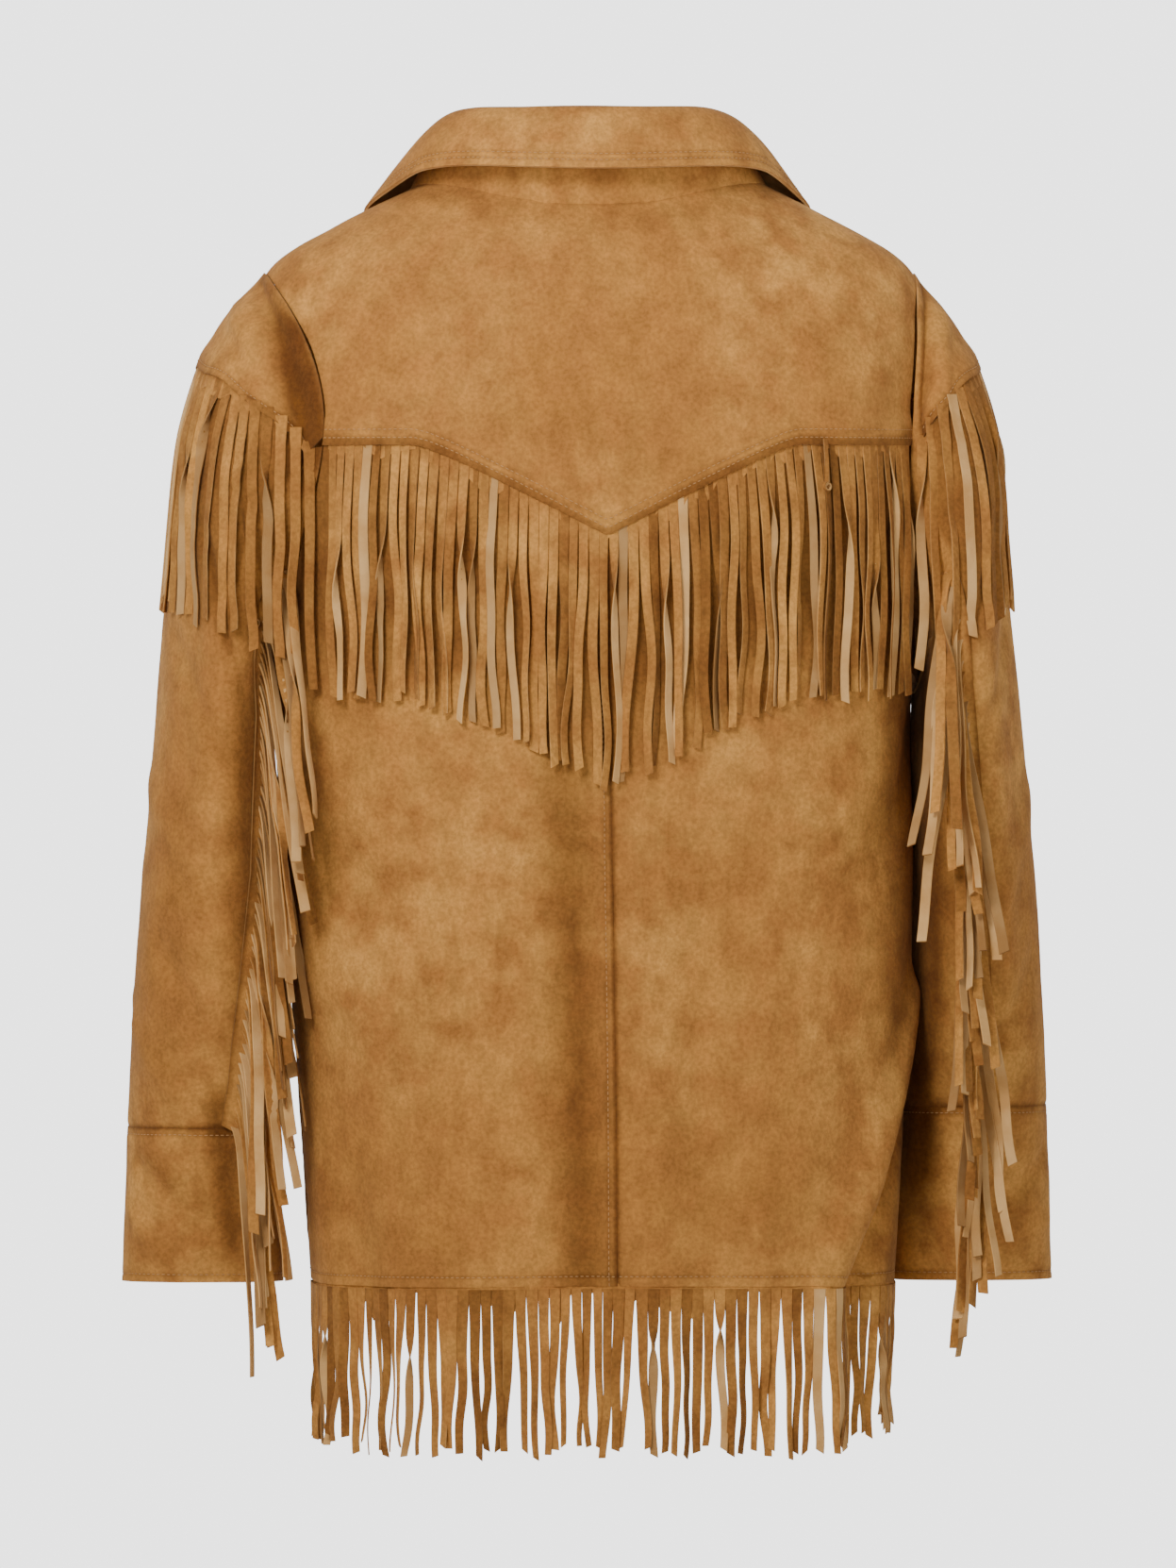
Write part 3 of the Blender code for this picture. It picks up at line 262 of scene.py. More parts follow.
def seamLevel(side, girth, lap=0.0):
    corner, level = armhole(side, cornerTurn(side, lap))
    table = yokeLevels(lap)
    return np.where(girth >= abs(corner), level, np.interp(side["sign"] * girth, *table))


def armRings(side, turn):
    """The sleeve's points down each turn, from the armhole to the cuff edge."""
    girth, level = armhole(side, turn)
    edge = bodyPoint(girth, level, False) + bodyOut(girth, level) * 3.3 * mm
    inner = sleeveRings[:, 2 if side is left else 3]
    depth = sleeveRings[:, 6 if side is left else 7]
    across, along, _ = superRound(turn, 2.1)
    outer = sleeveRings[:, 0] + side["flare"] * np.linspace(-1, 1, len(sleeveRings)).clip(0, 1)
    outerPoint = np.stack([outer, sleeveRings[:, 5], sleeveRings[:, 1]], -1)
    innerPoint = np.stack([inner, sleeveRings[:, 5], sleeveRings[:, 4]], -1)
    middle, half = (outerPoint + innerPoint) / 2, (outerPoint - innerPoint) / 2
    rings = middle[:, None] + half[:, None] * along[None, :, None]
    rings[..., 1] += depth[:, None] * across[None]
    rings *= mm
    rings[..., 0] *= side["sign"]
    return np.concatenate([edge[None], rings])


def sleevePoint(side, turn, level, fine=True):
    turn, level = np.broadcast_arrays(np.asarray(turn, float), np.asarray(level, float))
    shape = turn.shape
    turn, level = turn.ravel(), level.ravel()
    place = through(armRings(side, turn), level)
    folds = sleeveFolds[side["name"]] + (sleeveCreases[side["name"]] if fine else [])
    lift = foldLift(folds, (turn + 180) % 360 - 180, level, 0.055, 0.06) * smooth(level * 3.5)
    flat = side["sign"] * np.cos(np.radians(turn)) * (0.15 + 0.85 * smooth(level))
    out = unit(np.stack([flat, np.sin(np.radians(turn)), 0 * turn], -1))
    return (place + out * lift[:, None]).reshape(shape + (3,))


def sleeveOut(side, turn, level):
    turn, level = np.broadcast_arrays(np.asarray(turn, float), np.asarray(level, float))
    level = np.maximum(level, 0.1)
    here = sleevePoint(side, turn, level, False)
    down = sleevePoint(side, turn, np.minimum(level + 0.05, wrist), False) - sleevePoint(side, turn, level - 0.05, False)
    normal = unit(np.cross(sleevePoint(side, turn + 1, level, False) - sleevePoint(side, turn - 1, level, False), down))
    middle = (sleevePoint(side, turn + 180, level, False) + here) / 2
    return normal * np.sign((normal * (here - middle)).sum(-1, keepdims=True))


def capLevel(side, turn):
    share = np.clip(np.abs(turn) / np.where(turn > 0, cornerTurn(side), 84.0), 0, 1)
    return 0.12 + (side["capPeak"] - 0.12) * (1 / (1 + (share / 0.54)**3.6) - 0.098 * share**6)


def seamTurn(side, level):
    return np.interp(level, seamLevels, side["seamTurns"])


# ---- cloth pieces: fine grids turned into thin walls ----
def steps(count, low=0.75, high=0.75):
    """Shares from 0 to 1, closer together near the ends that carry a seam."""
    t = np.linspace(0, 1, count)
    first = t - low * np.sin(np.pi * np.clip(t, 0, 1)) / np.pi * (1 - t)
    return np.clip(first + high * np.sin(np.pi * t) / np.pi * t, 0, 1)


def ripple(points, size, amount, seed):
    flat = points.reshape(-1, 3)
    values = [noise.noise(Vector((p[0] / size + seed, p[1] / size, p[2] / size * 0.8))) for p in flat.tolist()]
    return np.array(values).reshape(points.shape[:-1]) * amount


def edgeDistance(grid, edge):
    """Distance in from one edge of the grid, and the run along that edge."""
    rows = edge in ("bottom", "top")
    g = grid if rows else grid.transpose(1, 0, 2)
    if edge in ("top", "right"):
        g = g[::-1]
    away = np.concatenate([np.zeros((1, g.shape[1])), np.cumsum(np.linalg.norm(np.diff(g, axis=0), axis=-1), 0)])
    run = np.concatenate([[0], np.cumsum(np.linalg.norm(np.diff(g[0], axis=0), axis=-1))])[None].repeat(len(g), 0)
    if edge in ("top", "right"):
        away = away[::-1]
    return (away, run) if rows else (away.T, run.T)


def pucker(run, phase):
    s = run * 1000
    return np.sin(s / 1.9 + 1.3 * np.sin(s / 6.1 + phase)) * (0.6 + 0.4 * np.sin(s / 8.7 + phase * 2))


pieces = {}


def gridNormals(grid, facing, closed=False):
    if closed:
        wide = np.concatenate([grid[:, -1:], grid, grid[:, :1]], 1)
        across = (wide[:, 2:] - wide[:, :-2])
    else:
        across = np.gradient(grid, axis=1)
    normal = unit(np.cross(across, np.gradient(grid, axis=0)))
    return normal * np.sign((normal * facing).sum(-1, keepdims=True))


def makeMesh(name, points, faces, material, attributes=None):
    mesh = bpy.data.meshes.new(name)
    mesh.from_pydata(points.tolist(), [], faces.tolist() if isinstance(faces, np.ndarray) else faces)
    mesh.update()
    for key, values in (attributes or {}).items():
        layer = mesh.attributes.new(key, "FLOAT", "POINT")
        layer.data.foreach_set("value", np.asarray(values, np.float32).ravel())
    mesh.shade_smooth()
    mesh.set_sharp_from_angle(angle=math.radians(48))
    mesh.materials.append(material)
    thing = bpy.data.objects.new(name, mesh)
    bpy.context.scene.collection.objects.link(thing)
    return thing


def clothWall(name, outer, facing, material, thick=wall, closed=False, seams=(), channels=(), seed=0.0, lift=None,
              rough=1.0, dip=0.9, paintedShade=0.0):
    """A thin wall under a grid of outer points, with soft seams, stitched channels and an uneven hand."""
    normal = gridNormals(outer, facing, closed)
    relief = ripple(outer, 0.045, 0.9 * mm * rough, seed) + ripple(outer, 0.016, 0.28 * mm * rough, seed + 9)
    # painted shade: the piece's own listed shade, deepened along seams and in stitched channels below
    shade = np.zeros(outer.shape[:2]) + paintedShade
    fade = np.ones(outer.shape[:2])
    for edge in seams:
        away, run = edgeDistance(outer, edge)
        fade = np.minimum(fade, smooth(away / 0.02))
        relief -= dip * mm * np.exp(-(away / (2.2 * mm))**2)
        relief += 0.35 * mm * pucker(run, seed) * np.exp(-away / (7 * mm)) * smooth(away / (2 * mm))
        # painted shade in the seam's groove
        shade += 0.8 * np.exp(-(away / (2.0 * mm))**2)
    for edge, distance in channels:
        away, run = edgeDistance(outer, edge)
        line = np.exp(-((away - distance) / (1.1 * mm))**2)
        relief -= 0.4 * mm * line * (0.8 + 0.3 * pucker(run, seed + 2))
        # painted shade in the stitched channel's groove
        shade += 0.35 * line
    for edge, gap in (lift or []):
        away, _ = edgeDistance(outer, edge)
        relief += gap * (1 - smooth((away - 6 * mm) / (16 * mm)))
    face = outer + normal * relief[..., None]
    inside = face - normal * thick
    rows, columns = outer.shape[:2]
    count = rows * columns
    index = np.arange(count).reshape(rows, columns)
    after = np.roll(index, -1, 1) if closed else index[:, 1:]
    here = index if closed else index[:, :-1]
    quads = np.stack([here[:-1], after[:-1], after[1:], here[1:]], -1).reshape(-1, 4)
    rims = []
    for row in (0, rows - 1):
        ring = np.stack([here[row], after[row], after[row] + count, here[row] + count], -1)
        rims.append(ring if row == rows - 1 else ring[:, ::-1])
    if not closed:
        for column in (0, columns - 1):
            line = index[:, column]
            ring = np.stack([line[:-1], line[1:], line[1:] + count, line[:-1] + count], -1)
            rims.append(ring[:, ::-1] if column else ring)
    points = np.concatenate([face.reshape(-1, 3), inside.reshape(-1, 3)])
    first, second = face[0, 1] - face[0, 0], face[1, 0] - face[0, 0]
    if np.cross(first, second) @ normal[0, 0] < 0:
        quads = quads[:, ::-1]
        rims = [ring[:, ::-1] for ring in rims]
    faces = np.concatenate([quads, quads[:, ::-1] + count] + rims)
    inner = np.concatenate([np.zeros(count), np.ones(count)])
    paintedShade = np.concatenate([np.clip(shade, 0, 1).ravel()] * 2)
    thing = makeMesh(name, points, faces, material, {"inside": inner, "shade": paintedShade})
    volume = signedVolume(thing.data)
    if volume < 0:
        thing.data.flip_normals()
    pieces[name] = dict(thing=thing, face=face, normal=normal)
    return thing


def signedVolume(mesh):
    mesh.calc_loop_triangles()
    points = np.empty(len(mesh.vertices) * 3)
    mesh.vertices.foreach_get("co", points)
    points = points.reshape(-1, 3)
    corners = np.empty(len(mesh.loop_triangles) * 3, np.int32)
    mesh.loop_triangles.foreach_get("vertices", corners)
    a, b, c = points[corners.reshape(-1, 3)].transpose(1, 0, 2)
    return (np.cross(a, b) * c).sum() / 6


# ---- materials ----
def node(tree, kind, place, **values):
    made = tree.nodes.new(kind)
    made.location = place
    for key, value in values.items():
        if key in made.inputs:
            made.inputs[key].default_value = value
        else:
            setattr(made, key, value)
    return made


def mixColour(tree, place, blend, factor, first, second):
    """A colour mix; each of the last three is a socket or a value."""
    mix = node(tree, "ShaderNodeMix", place, data_type="RGBA", blend_type=blend)
    for socket, value in ((mix.inputs[0], factor), (mix.inputs[6], first), (mix.inputs[7], second)):
        if isinstance(value, bpy.types.NodeSocket):
            tree.links.new(value, socket)
        else:
            socket.default_value = value
    return mix.outputs[2]


def noiseAt(tree, place, scale, detail, stretch=(1, 1, 1), low=0.35, high=0.65):
    """A noise over the object's own coordinates, spread to 0..1."""
    coords = node(tree, "ShaderNodeTexCoord", (place[0] - 600, place[1]))
    mapping = node(tree, "ShaderNodeMapping", (place[0] - 420, place[1]), Scale=stretch)
    made = node(tree, "ShaderNodeTexNoise", (place[0] - 240, place[1]), Scale=scale, Detail=detail, Roughness=0.55)
    spread = node(tree, "ShaderNodeMapRange", (place[0] - 60, place[1]))
    spread.inputs["From Min"].default_value = low
    spread.inputs["From Max"].default_value = high
    tree.links.new(coords.outputs["Object"], mapping.inputs["Vector"])
    tree.links.new(mapping.outputs[0], made.inputs["Vector"])
    tree.links.new(made.outputs["Fac"], spread.inputs["Value"])
    return spread.outputs[0]


def attribute(tree, place, name):
    made = node(tree, "ShaderNodeAttribute", place, attribute_name=name)
    return made.outputs["Fac"]


def suedeMaterial(name, settings):
    made = bpy.data.materials.new(name)
    made.use_nodes = True
    tree = made.node_tree
    shader = tree.nodes["Principled BSDF"]
    broad = noiseAt(tree, (-1200, 600), 7.0, 2.0, (1, 1, 0.8))
    patches = noiseAt(tree, (-1200, 400), 34.0, 4.0, low=0.37, high=0.63)
    streaks = noiseAt(tree, (-1200, 200), 90.0, 3.0, (1, 1, 0.6))
    specks = noiseAt(tree, (-1200, 0), 420.0, 3.0)
    colour = mixColour(tree, (-800, 600), "MIX", broad, settings["dark"], settings["light"])
    colour = mixColour(tree, (-650, 500), "MIX", patches, settings["brown"], colour)
    colour = mixColour(tree, (-500, 400), "OVERLAY", 0.18, colour, mixColour(tree, (-650, 250), "MIX", streaks, (0.2, 0.2, 0.2, 1), (0.8, 0.8, 0.8, 1)))
    colour = mixColour(tree, (-350, 300), "OVERLAY", 0.22, colour, mixColour(tree, (-500, 150), "MIX", specks, (0.15, 0.15, 0.15, 1), (0.85, 0.85, 0.85, 1)))
    if settings.get("flesh"):
        flesh = mixColour(tree, (-400, 200), "MIX", patches, settings["worn"], settings["flesh"])
        colour = mixColour(tree, (-200, 200), "MIX", attribute(tree, (-400, 0), "inside"), colour, flesh)
    # painted shade: the colour darkened towards a deep brown wherever the shade attribute says, for folds, seams, gaps
    # and strands in shadow
    paintedShadeColour = mixColour(tree, (-200, 50), "MULTIPLY", 1.0, colour, (0.34, 0.27, 0.21, 1))
    colour = mixColour(tree, (-50, 150), "MIX", attribute(tree, (-400, -200), "shade"), colour, paintedShadeColour)
    tree.links.new(colour, shader.inputs["Base Color"])
    grain = noiseAt(tree, (-700, -500), 1500.0, 3.0, low=0.0, high=1.0)
    cloud = noiseAt(tree, (-700, -700), 210.0, 4.0, low=0.0, high=1.0)
    first = node(tree, "ShaderNodeBump", (-300, -500), Strength=0.55, Distance=0.0004)
    second = node(tree, "ShaderNodeBump", (-120, -500), Strength=0.6, Distance=0.0008)
    tree.links.new(grain, first.inputs["Height"])
    tree.links.new(cloud, second.inputs["Height"])
    tree.links.new(first.outputs[0], second.inputs["Normal"])
    tree.links.new(second.outputs[0], shader.inputs["Normal"])
    shader.inputs["Roughness"].default_value = 0.92
    shader.inputs["Specular IOR Level"].default_value = 0.12
    shader.inputs["Sheen Weight"].default_value = 0.08
    shader.inputs["Sheen Roughness"].default_value = 0.5
    shader.inputs["Sheen Tint"].default_value = (1.0, 0.74, 0.44, 1)
    return made


def plainMaterial(name, colour, roughness, specular=0.4):
    made = bpy.data.materials.new(name)
    made.use_nodes = True
    shader = made.node_tree.nodes["Principled BSDF"]
    shader.inputs["Base Color"].default_value = (*colour, 1)
    shader.inputs["Roughness"].default_value = roughness
    shader.inputs["Specular IOR Level"].default_value = specular
    return made


suedeTones = dict(dark=(0.37, 0.155, 0.034, 1), light=(0.55, 0.265, 0.064, 1), brown=(0.34, 0.138, 0.032, 1),
                  flesh=(0.64, 0.38, 0.15, 1), worn=(0.50, 0.26, 0.085, 1))
suede = suedeMaterial("suede", suedeTones)
fringeSuede = suedeMaterial("fringe suede", suedeTones)
thread = plainMaterial("thread", (0.42, 0.22, 0.08), 0.75, 0.25)
horn = plainMaterial("horn buttons", (0.09, 0.04, 0.018), 0.32, 0.5)
print("materials done")

lap = dict(drop=5 * mm, gap=2.3 * mm)


def upperEdge(side, lapDrop, first, second):
    """Ends of the yoke's rows: up the armhole, then along the shoulder seam."""
    turns = np.linspace(cornerTurn(side, lapDrop), shoulderTurn(side), first)
    girth, level = armhole(side, turns)
    levels = np.linspace(level[-1], neck, second + 1)[1:]
    return np.concatenate([girth, np.full(second, side["sign"] * shoulderSeam)]), np.concatenate([level, levels])


# Painted shade on the body's cloth: the listed dark places, and a painted shadow under the yoke's fringe
def bodyPaintedShade(girth, point):
    below = yokeHeight(point[..., 0]) - point[..., 2]    # under the yoke's fringe little light comes in
    fringeShadow = smooth((below + 2 * mm) / (6 * mm)) * (1 - smooth((below - 0.1) / 0.06)) * (np.abs(girth) < 78)
    return 0.85 * foldLift(paintedBodyShades, girth, point[..., 2], 0.16, 1.0) / mm + 0.75 * fringeShadow


# Painted shade on the sleeve's cloth: the listed dark places, and a painted shadow under the cap's fringe
def sleevePaintedShade(side, turn, level, point):
    turn = (turn + 180) % 360 - 180
    seam = sleevePoint(side, turn, capLevel(side, turn), False)[..., 2]
    below = seam - point[..., 2]
    fringeShadow = smooth((below + 1 * mm) / (5 * mm)) * (1 - smooth((below - 0.09) / 0.06)) * (np.abs(turn) < cornerTurn(side))
    return 0.85 * foldLift(paintedSleeveShades[side["name"]], turn, level, 0.055, 0.06) / mm + 0.6 * fringeShadow


def backPiece(side):
    lower = steps(118, 0.8, 0.0)
    girthEnd = np.full(len(lower), side["sign"] * sideSeam)
    levelEnd = lower * 3.15
    turns = np.linspace(180, cornerTurn(side), 40)[1:]
    girthArm, levelArm = armhole(side, turns)
    girthEnd, levelEnd = np.concatenate([girthEnd, girthArm]), np.concatenate([levelEnd, levelArm])
    share = steps(78)
    girth = np.abs(girthEnd)[:, None] * share[None]
    top = levelEnd[-1]
    level = levelEnd[:, None] * seamLevel(side, girth) / top
    girth, level = girth * side["sign"], np.where(share[None] == 1, levelEnd[:, None], level)
    inner = bodyPoint(girth, level)
    outer = inner + bodyOut(girth, level) * wall
    return clothWall("back" + side["title"], outer, ringOut(girth), suede, seams=("left",), seed=3.0 * side["sign"],
                     paintedShade=bodyPaintedShade(girth, outer), channels=(("bottom", 6 * mm), ("left", 5 * mm)) if side is left else (("bottom", 6 * mm),))


def yokePiece():
    halves = []
    for side in (right, left):
        girthEnd, levelEnd = upperEdge(side, lap["drop"], 52, 22)
        share = steps(84, 0.0, 0.6)
        girth = np.abs(girthEnd)[:, None] * share[None]
        seam = seamLevel(side, girth, lap["drop"])
        top = levelEnd[0]
        risen = np.linspace(0, 1, len(levelEnd))[:, None]**1.15
        bend = levelEnd[:, None] - top - (neck - top) * risen
        level = seam + (neck - seam) * risen + bend * share[None]**3
        halves.append((girth * side["sign"], np.minimum(level, neck)))
    girth = np.concatenate([halves[0][0][:, ::-1], halves[1][0][:, 1:]], 1)
    level = np.concatenate([halves[0][1][:, ::-1], halves[1][1][:, 1:]], 1)
    inner = bodyPoint(girth, level)
    outer = inner + bodyOut(girth, level) * wall
    return clothWall("yokePanel", outer, ringOut(girth) + [0, 0, 0.6], suede, seed=1.7, seams=("top",),
                     channels=(("bottom", 4.5 * mm), ("bottom", 9.5 * mm)), lift=[("bottom", lap["gap"])],
                     paintedShade=bodyPaintedShade(girth, outer))


def frontPiece(side):
    lower = steps(110, 0.8, 0.0)
    girthEnd = np.full(len(lower), side["sign"] * sideSeam)
    levelEnd = lower * 3.15
    turns = np.linspace(-180, shoulderTurn(side), 66)[1:]
    girthArm, levelArm = armhole(side, turns)
    levels = np.linspace(levelArm[-1], neck, 21)[1:]
    girthEnd = np.concatenate([girthEnd, girthArm, np.full(20, side["sign"] * shoulderSeam)])
    levelEnd = np.concatenate([levelEnd, levelArm, levels])
    share = steps(70, 0.6, 0.8)
    ring = through(bodyRings, levelEnd)
    lapDeg = np.degrees(np.arcsin(18 / ring[:, 3]))
    start = np.abs(girthEnd)
    girth = start[:, None] + (180 + lapDeg - start)[:, None] * share[None]
    girth = girth * side["sign"]
    level = levelEnd[:, None] + 0 * girth
    inner = bodyPoint(girth, level)
    out = bodyOut(girth, level)
    if side is right:
        across = inner[..., 0] - mm * ring[:, 6][:, None]
        inner = inner + out * (2.0 * mm * smooth((across + 0.06) / 0.02))[..., None]
    outer = inner + out * wall
    return clothWall("front" + side["title"], outer, ringOut(girth) + [0, 0, 0.4], suede, seed=5.0 + side["sign"],
                     channels=(("right", 6 * mm), ("right", 34 * mm), ("bottom", 8 * mm)), seams=("left",),
                     paintedShade=bodyPaintedShade(girth, outer))


def standPiece():
    girth = np.concatenate([-steps(150)[::-1] * 177.5, steps(150)[1:] * 177.5])
    foot = bodyPoint(girth, neck)
    across = foot[:, 0]
    raised = 2.0 * mm * smooth((across + 0.058) / 0.02) * (np.abs(girth) > 90) * (girth < 0)
    raised = np.where(np.abs(girth) > 90, 2.0 * mm * smooth((across + 0.058) / 0.02), 0)
    low = bodyPoint(girth, neck - 0.12)
    foot = low + bodyOut(girth, neck - 0.12) * (raised - 1.7 * mm)[:, None]
    top = sectionPoint(np.broadcast_to(rollLine, (len(girth), 8)), girth) - [0, 0, 4.6 * mm]
    share = np.linspace(0, 1, 14)[:, None, None]
    inner = foot[None] * (1 - share) + top[None] * share
    bulge = np.sin(np.pi * share) * 1.2 * mm
    inner = inner + ringOut(girth)[None] * bulge
    outer = inner + ringOut(girth)[None] * wall
    return clothWall("collarStand", outer, ringOut(girth)[None] + 0 * outer, suede, seed=8.1, rough=0.5)


def leafPiece():
    turn = np.linspace(-1, 1, 181)
    start = sectionPoint(np.broadcast_to(rollLine, (len(turn), 8)), turn * 177)
    start = start + np.array([0, 0, 1]) * (2.2 * mm * (1 - smooth(np.abs(turn) / 0.2)))[:, None]
    edgeDeg = turn * 152
    level = np.interp(np.abs(edgeDeg), (92.0, 152.0), (8.5, 7.3))
    resting = bodyPoint(edgeDeg, level, False) + bodyOut(edgeDeg, level) * 4.5 * mm
    share = smooth((np.abs(edgeDeg) - 55) / 37)[:, None]
    end = sectionPoint(np.broadcast_to(leafEdgeRing, (len(turn), 8)), edgeDeg) * (1 - share) + resting * share
    down = steps(52, 0.0, 0.8)[:, None, None]
    flat, fall = down**0.7, down**1.45
    inner = start + (end - start) * np.concatenate([flat, flat, fall], -1)
    outward = ringOut(turn * 165)
    roll = np.linspace(1, 0, 9)[:-1][:, None, None]
    inside = start - outward * 3.2 * mm * np.sin(roll * np.pi / 2) - np.array([0, 0, 1]) * 7 * mm * (1 - np.cos(roll * np.pi / 2))
    inner = np.concatenate([inside, inner])
    facing = outward[None] + [0, 0, 0.8] + 0 * inner
    facing[:8] = outward * 0.2 + [0, 0, 1.0]
    normal = gridNormals(inner, facing)
    outer = inner + normal * 2.1 * mm
    return clothWall("collarLeaf", outer, facing, suede, thick=2.0 * mm, seed=4.4, rough=0.7,
                     channels=(("top", 5 * mm), ("top", 9 * mm)))


def sleevePiece(side):
    base = side["seamTurns"][0]
    turns = base + np.linspace(0, -360, 118)
    wrapped = (turns + 180) % 360 - 180
    corner = cornerTurn(side)
    under = (wrapped >= -84) & (wrapped <= corner)
    start = np.where(under, capLevel(side, wrapped), 0.0)
    share = steps(150, 0.0, 0.6)
    level = start[None] + (side["cuffStart"] - start)[None] * share[:, None]
    swing = (1 + np.cos(np.radians(turns - base))) / 2
    turn = turns[None] + (seamTurn(side, level) - seamTurn(side, start)[None]) * swing[None]
    outer = sleevePoint(side, turn, level)
    return clothWall("sleeve" + side["title"], outer, sleeveOut(side, turn, level), suede, seed=6.0 + side["sign"],
                     seams=("top",), paintedShade=sleevePaintedShade(side, turn, level, outer))


def capPiece(side):
    corner = cornerTurn(side)
    turns = np.linspace(-84, corner, 84)
    reach = capLevel(side, turns) + 0.09
    share = steps(34, 0.4, 0.8)
    level = reach[None] * share[:, None]
    turn = turns[None] + 0 * level
    outer = sleevePoint(side, turn, level)
    return clothWall("cap" + side["title"], outer, sleeveOut(side, turn, level), suede, thick=1.3 * mm,
                     seed=7.0 + side["sign"], lift=[("top", 2.2 * mm)], channels=(("top", 4.5 * mm),),
                     paintedShade=sleevePaintedShade(side, turn, level, outer))


def cuffPiece(side):
    turns = np.linspace(0, 360, 101)[:-1]
    level = np.linspace(side["cuffStart"], wrist, 44)[:, None] + 0 * turns[None]
    turn = turns[None] + 0 * level
    outer = sleevePoint(side, turn, level)
    return clothWall("cuff" + side["title"], outer, sleeveOut(side, turn, level), suede, closed=True, thick=1.9 * mm,
                     seed=2.0 + side["sign"], seams=("bottom",), dip=0.45, paintedShade=sleevePaintedShade(side, turn, level, outer),
                     channels=(("bottom", 4 * mm), ("top", 5 * mm)))


for side in (left, right):
    backPiece(side)
    frontPiece(side)
    sleevePiece(side)
    capPiece(side)
    cuffPiece(side)
yokePiece()
standPiece()
leafPiece()
print("cloth pieces done")


# ---- fringe: paths and strips, then strands by geometry nodes ----
def strandTree():
    tree = bpy.data.node_groups.new("hanging strands", "GeometryNodeTree")
    face = tree.interface
    face.new_socket("Geometry", in_out="INPUT", socket_type="NodeSocketGeometry")
    face.new_socket("Thickness", in_out="INPUT", socket_type="NodeSocketFloat")
    face.new_socket("Material", in_out="INPUT", socket_type="NodeSocketMaterial")
    face.new_socket("Geometry", in_out="OUTPUT", socket_type="NodeSocketGeometry")
    add, link = tree.nodes.new, tree.links.new
    start, end = add("NodeGroupInput"), add("NodeGroupOutput")

    def named(kind, name):
        made = add("GeometryNodeInputNamedAttribute")
        made.data_type = kind
        made.inputs["Name"].default_value = name
        return made.outputs["Attribute"]

    def maths(operation, *values):
        made = add("ShaderNodeMath")
        made.operation = operation
        for socket, value in zip(made.inputs, values):
            if isinstance(value, bpy.types.NodeSocket):
                link(value, socket)
            else:
                socket.default_value = value
        return made.outputs[0]
    curve = add("GeometryNodeMeshToCurve")
    link(start.outputs["Geometry"], curve.inputs["Mesh"])
    normal = add("GeometryNodeSetCurveNormal")
    normal.mode = "FREE"
    link(curve.outputs[0], normal.inputs["Curve"])
    link(named("FLOAT_VECTOR", "facing"), normal.inputs["Normal"])
    tilt = add("GeometryNodeSetCurveTilt")
    link(normal.outputs[0], tilt.inputs["Curve"])
    link(named("FLOAT", "turn"), tilt.inputs["Tilt"])
    quad = add("GeometryNodeCurvePrimitiveQuadrilateral")
    link(start.outputs["Thickness"], quad.inputs["Width"])
    quad.inputs["Height"].default_value = 1.0
    fillet = add("GeometryNodeFilletCurve")
    fillet.mode = "POLY"
    fillet.inputs["Count"].default_value = 1
    fillet.inputs["Radius"].default_value = 0.05
    fillet.inputs["Limit Radius"].default_value = True
    link(quad.outputs[0], fillet.inputs["Curve"])
    place = add("GeometryNodeInputPosition")
    parts = add("ShaderNodeSeparateXYZ")
    link(place.outputs[0], parts.inputs[0])
    across = add("GeometryNodeStoreNamedAttribute")
    across.data_type, across.domain = "FLOAT", "POINT"
    across.inputs["Name"].default_value = "across"
    link(fillet.outputs[0], across.inputs["Geometry"])
    link(parts.outputs["Y"], across.inputs["Value"])
    inside = add("GeometryNodeStoreNamedAttribute")
    inside.data_type, inside.domain = "FLOAT", "POINT"
    inside.inputs["Name"].default_value = "inside"
    link(across.outputs[0], inside.inputs["Geometry"])
    link(maths("LESS_THAN", parts.outputs["X"], 0.0), inside.inputs["Value"])
    radius = add("GeometryNodeSetCurveRadius")
    link(tilt.outputs[0], radius.inputs["Curve"])
    link(named("FLOAT", "width"), radius.inputs["Radius"])
    sweep = add("GeometryNodeCurveToMesh")
    link(radius.outputs[0], sweep.inputs["Curve"])
    link(inside.outputs[0], sweep.inputs["Profile Curve"])
    sweep.inputs["Fill Caps"].default_value = True
    if "Scale" in sweep.inputs:
        link(named("FLOAT", "width"), sweep.inputs["Scale"])
    cut = add("GeometryNodeSetPosition")
    link(sweep.outputs[0], cut.inputs["Geometry"])
    offset = add("ShaderNodeCombineXYZ")
    link(maths("MULTIPLY", named("FLOAT", "across"), named("FLOAT", "slant")), offset.inputs["Z"])
    link(offset.outputs[0], cut.inputs["Offset"])
    joined = add("GeometryNodeRealizeInstances")
    link(cut.outputs[0], joined.inputs[0])
    paint = add("GeometryNodeSetMaterial")
    link(joined.outputs[0], paint.inputs["Geometry"])
    link(start.outputs["Material"], paint.inputs["Material"])
    link(paint.outputs[0], end.inputs[0])
    return tree


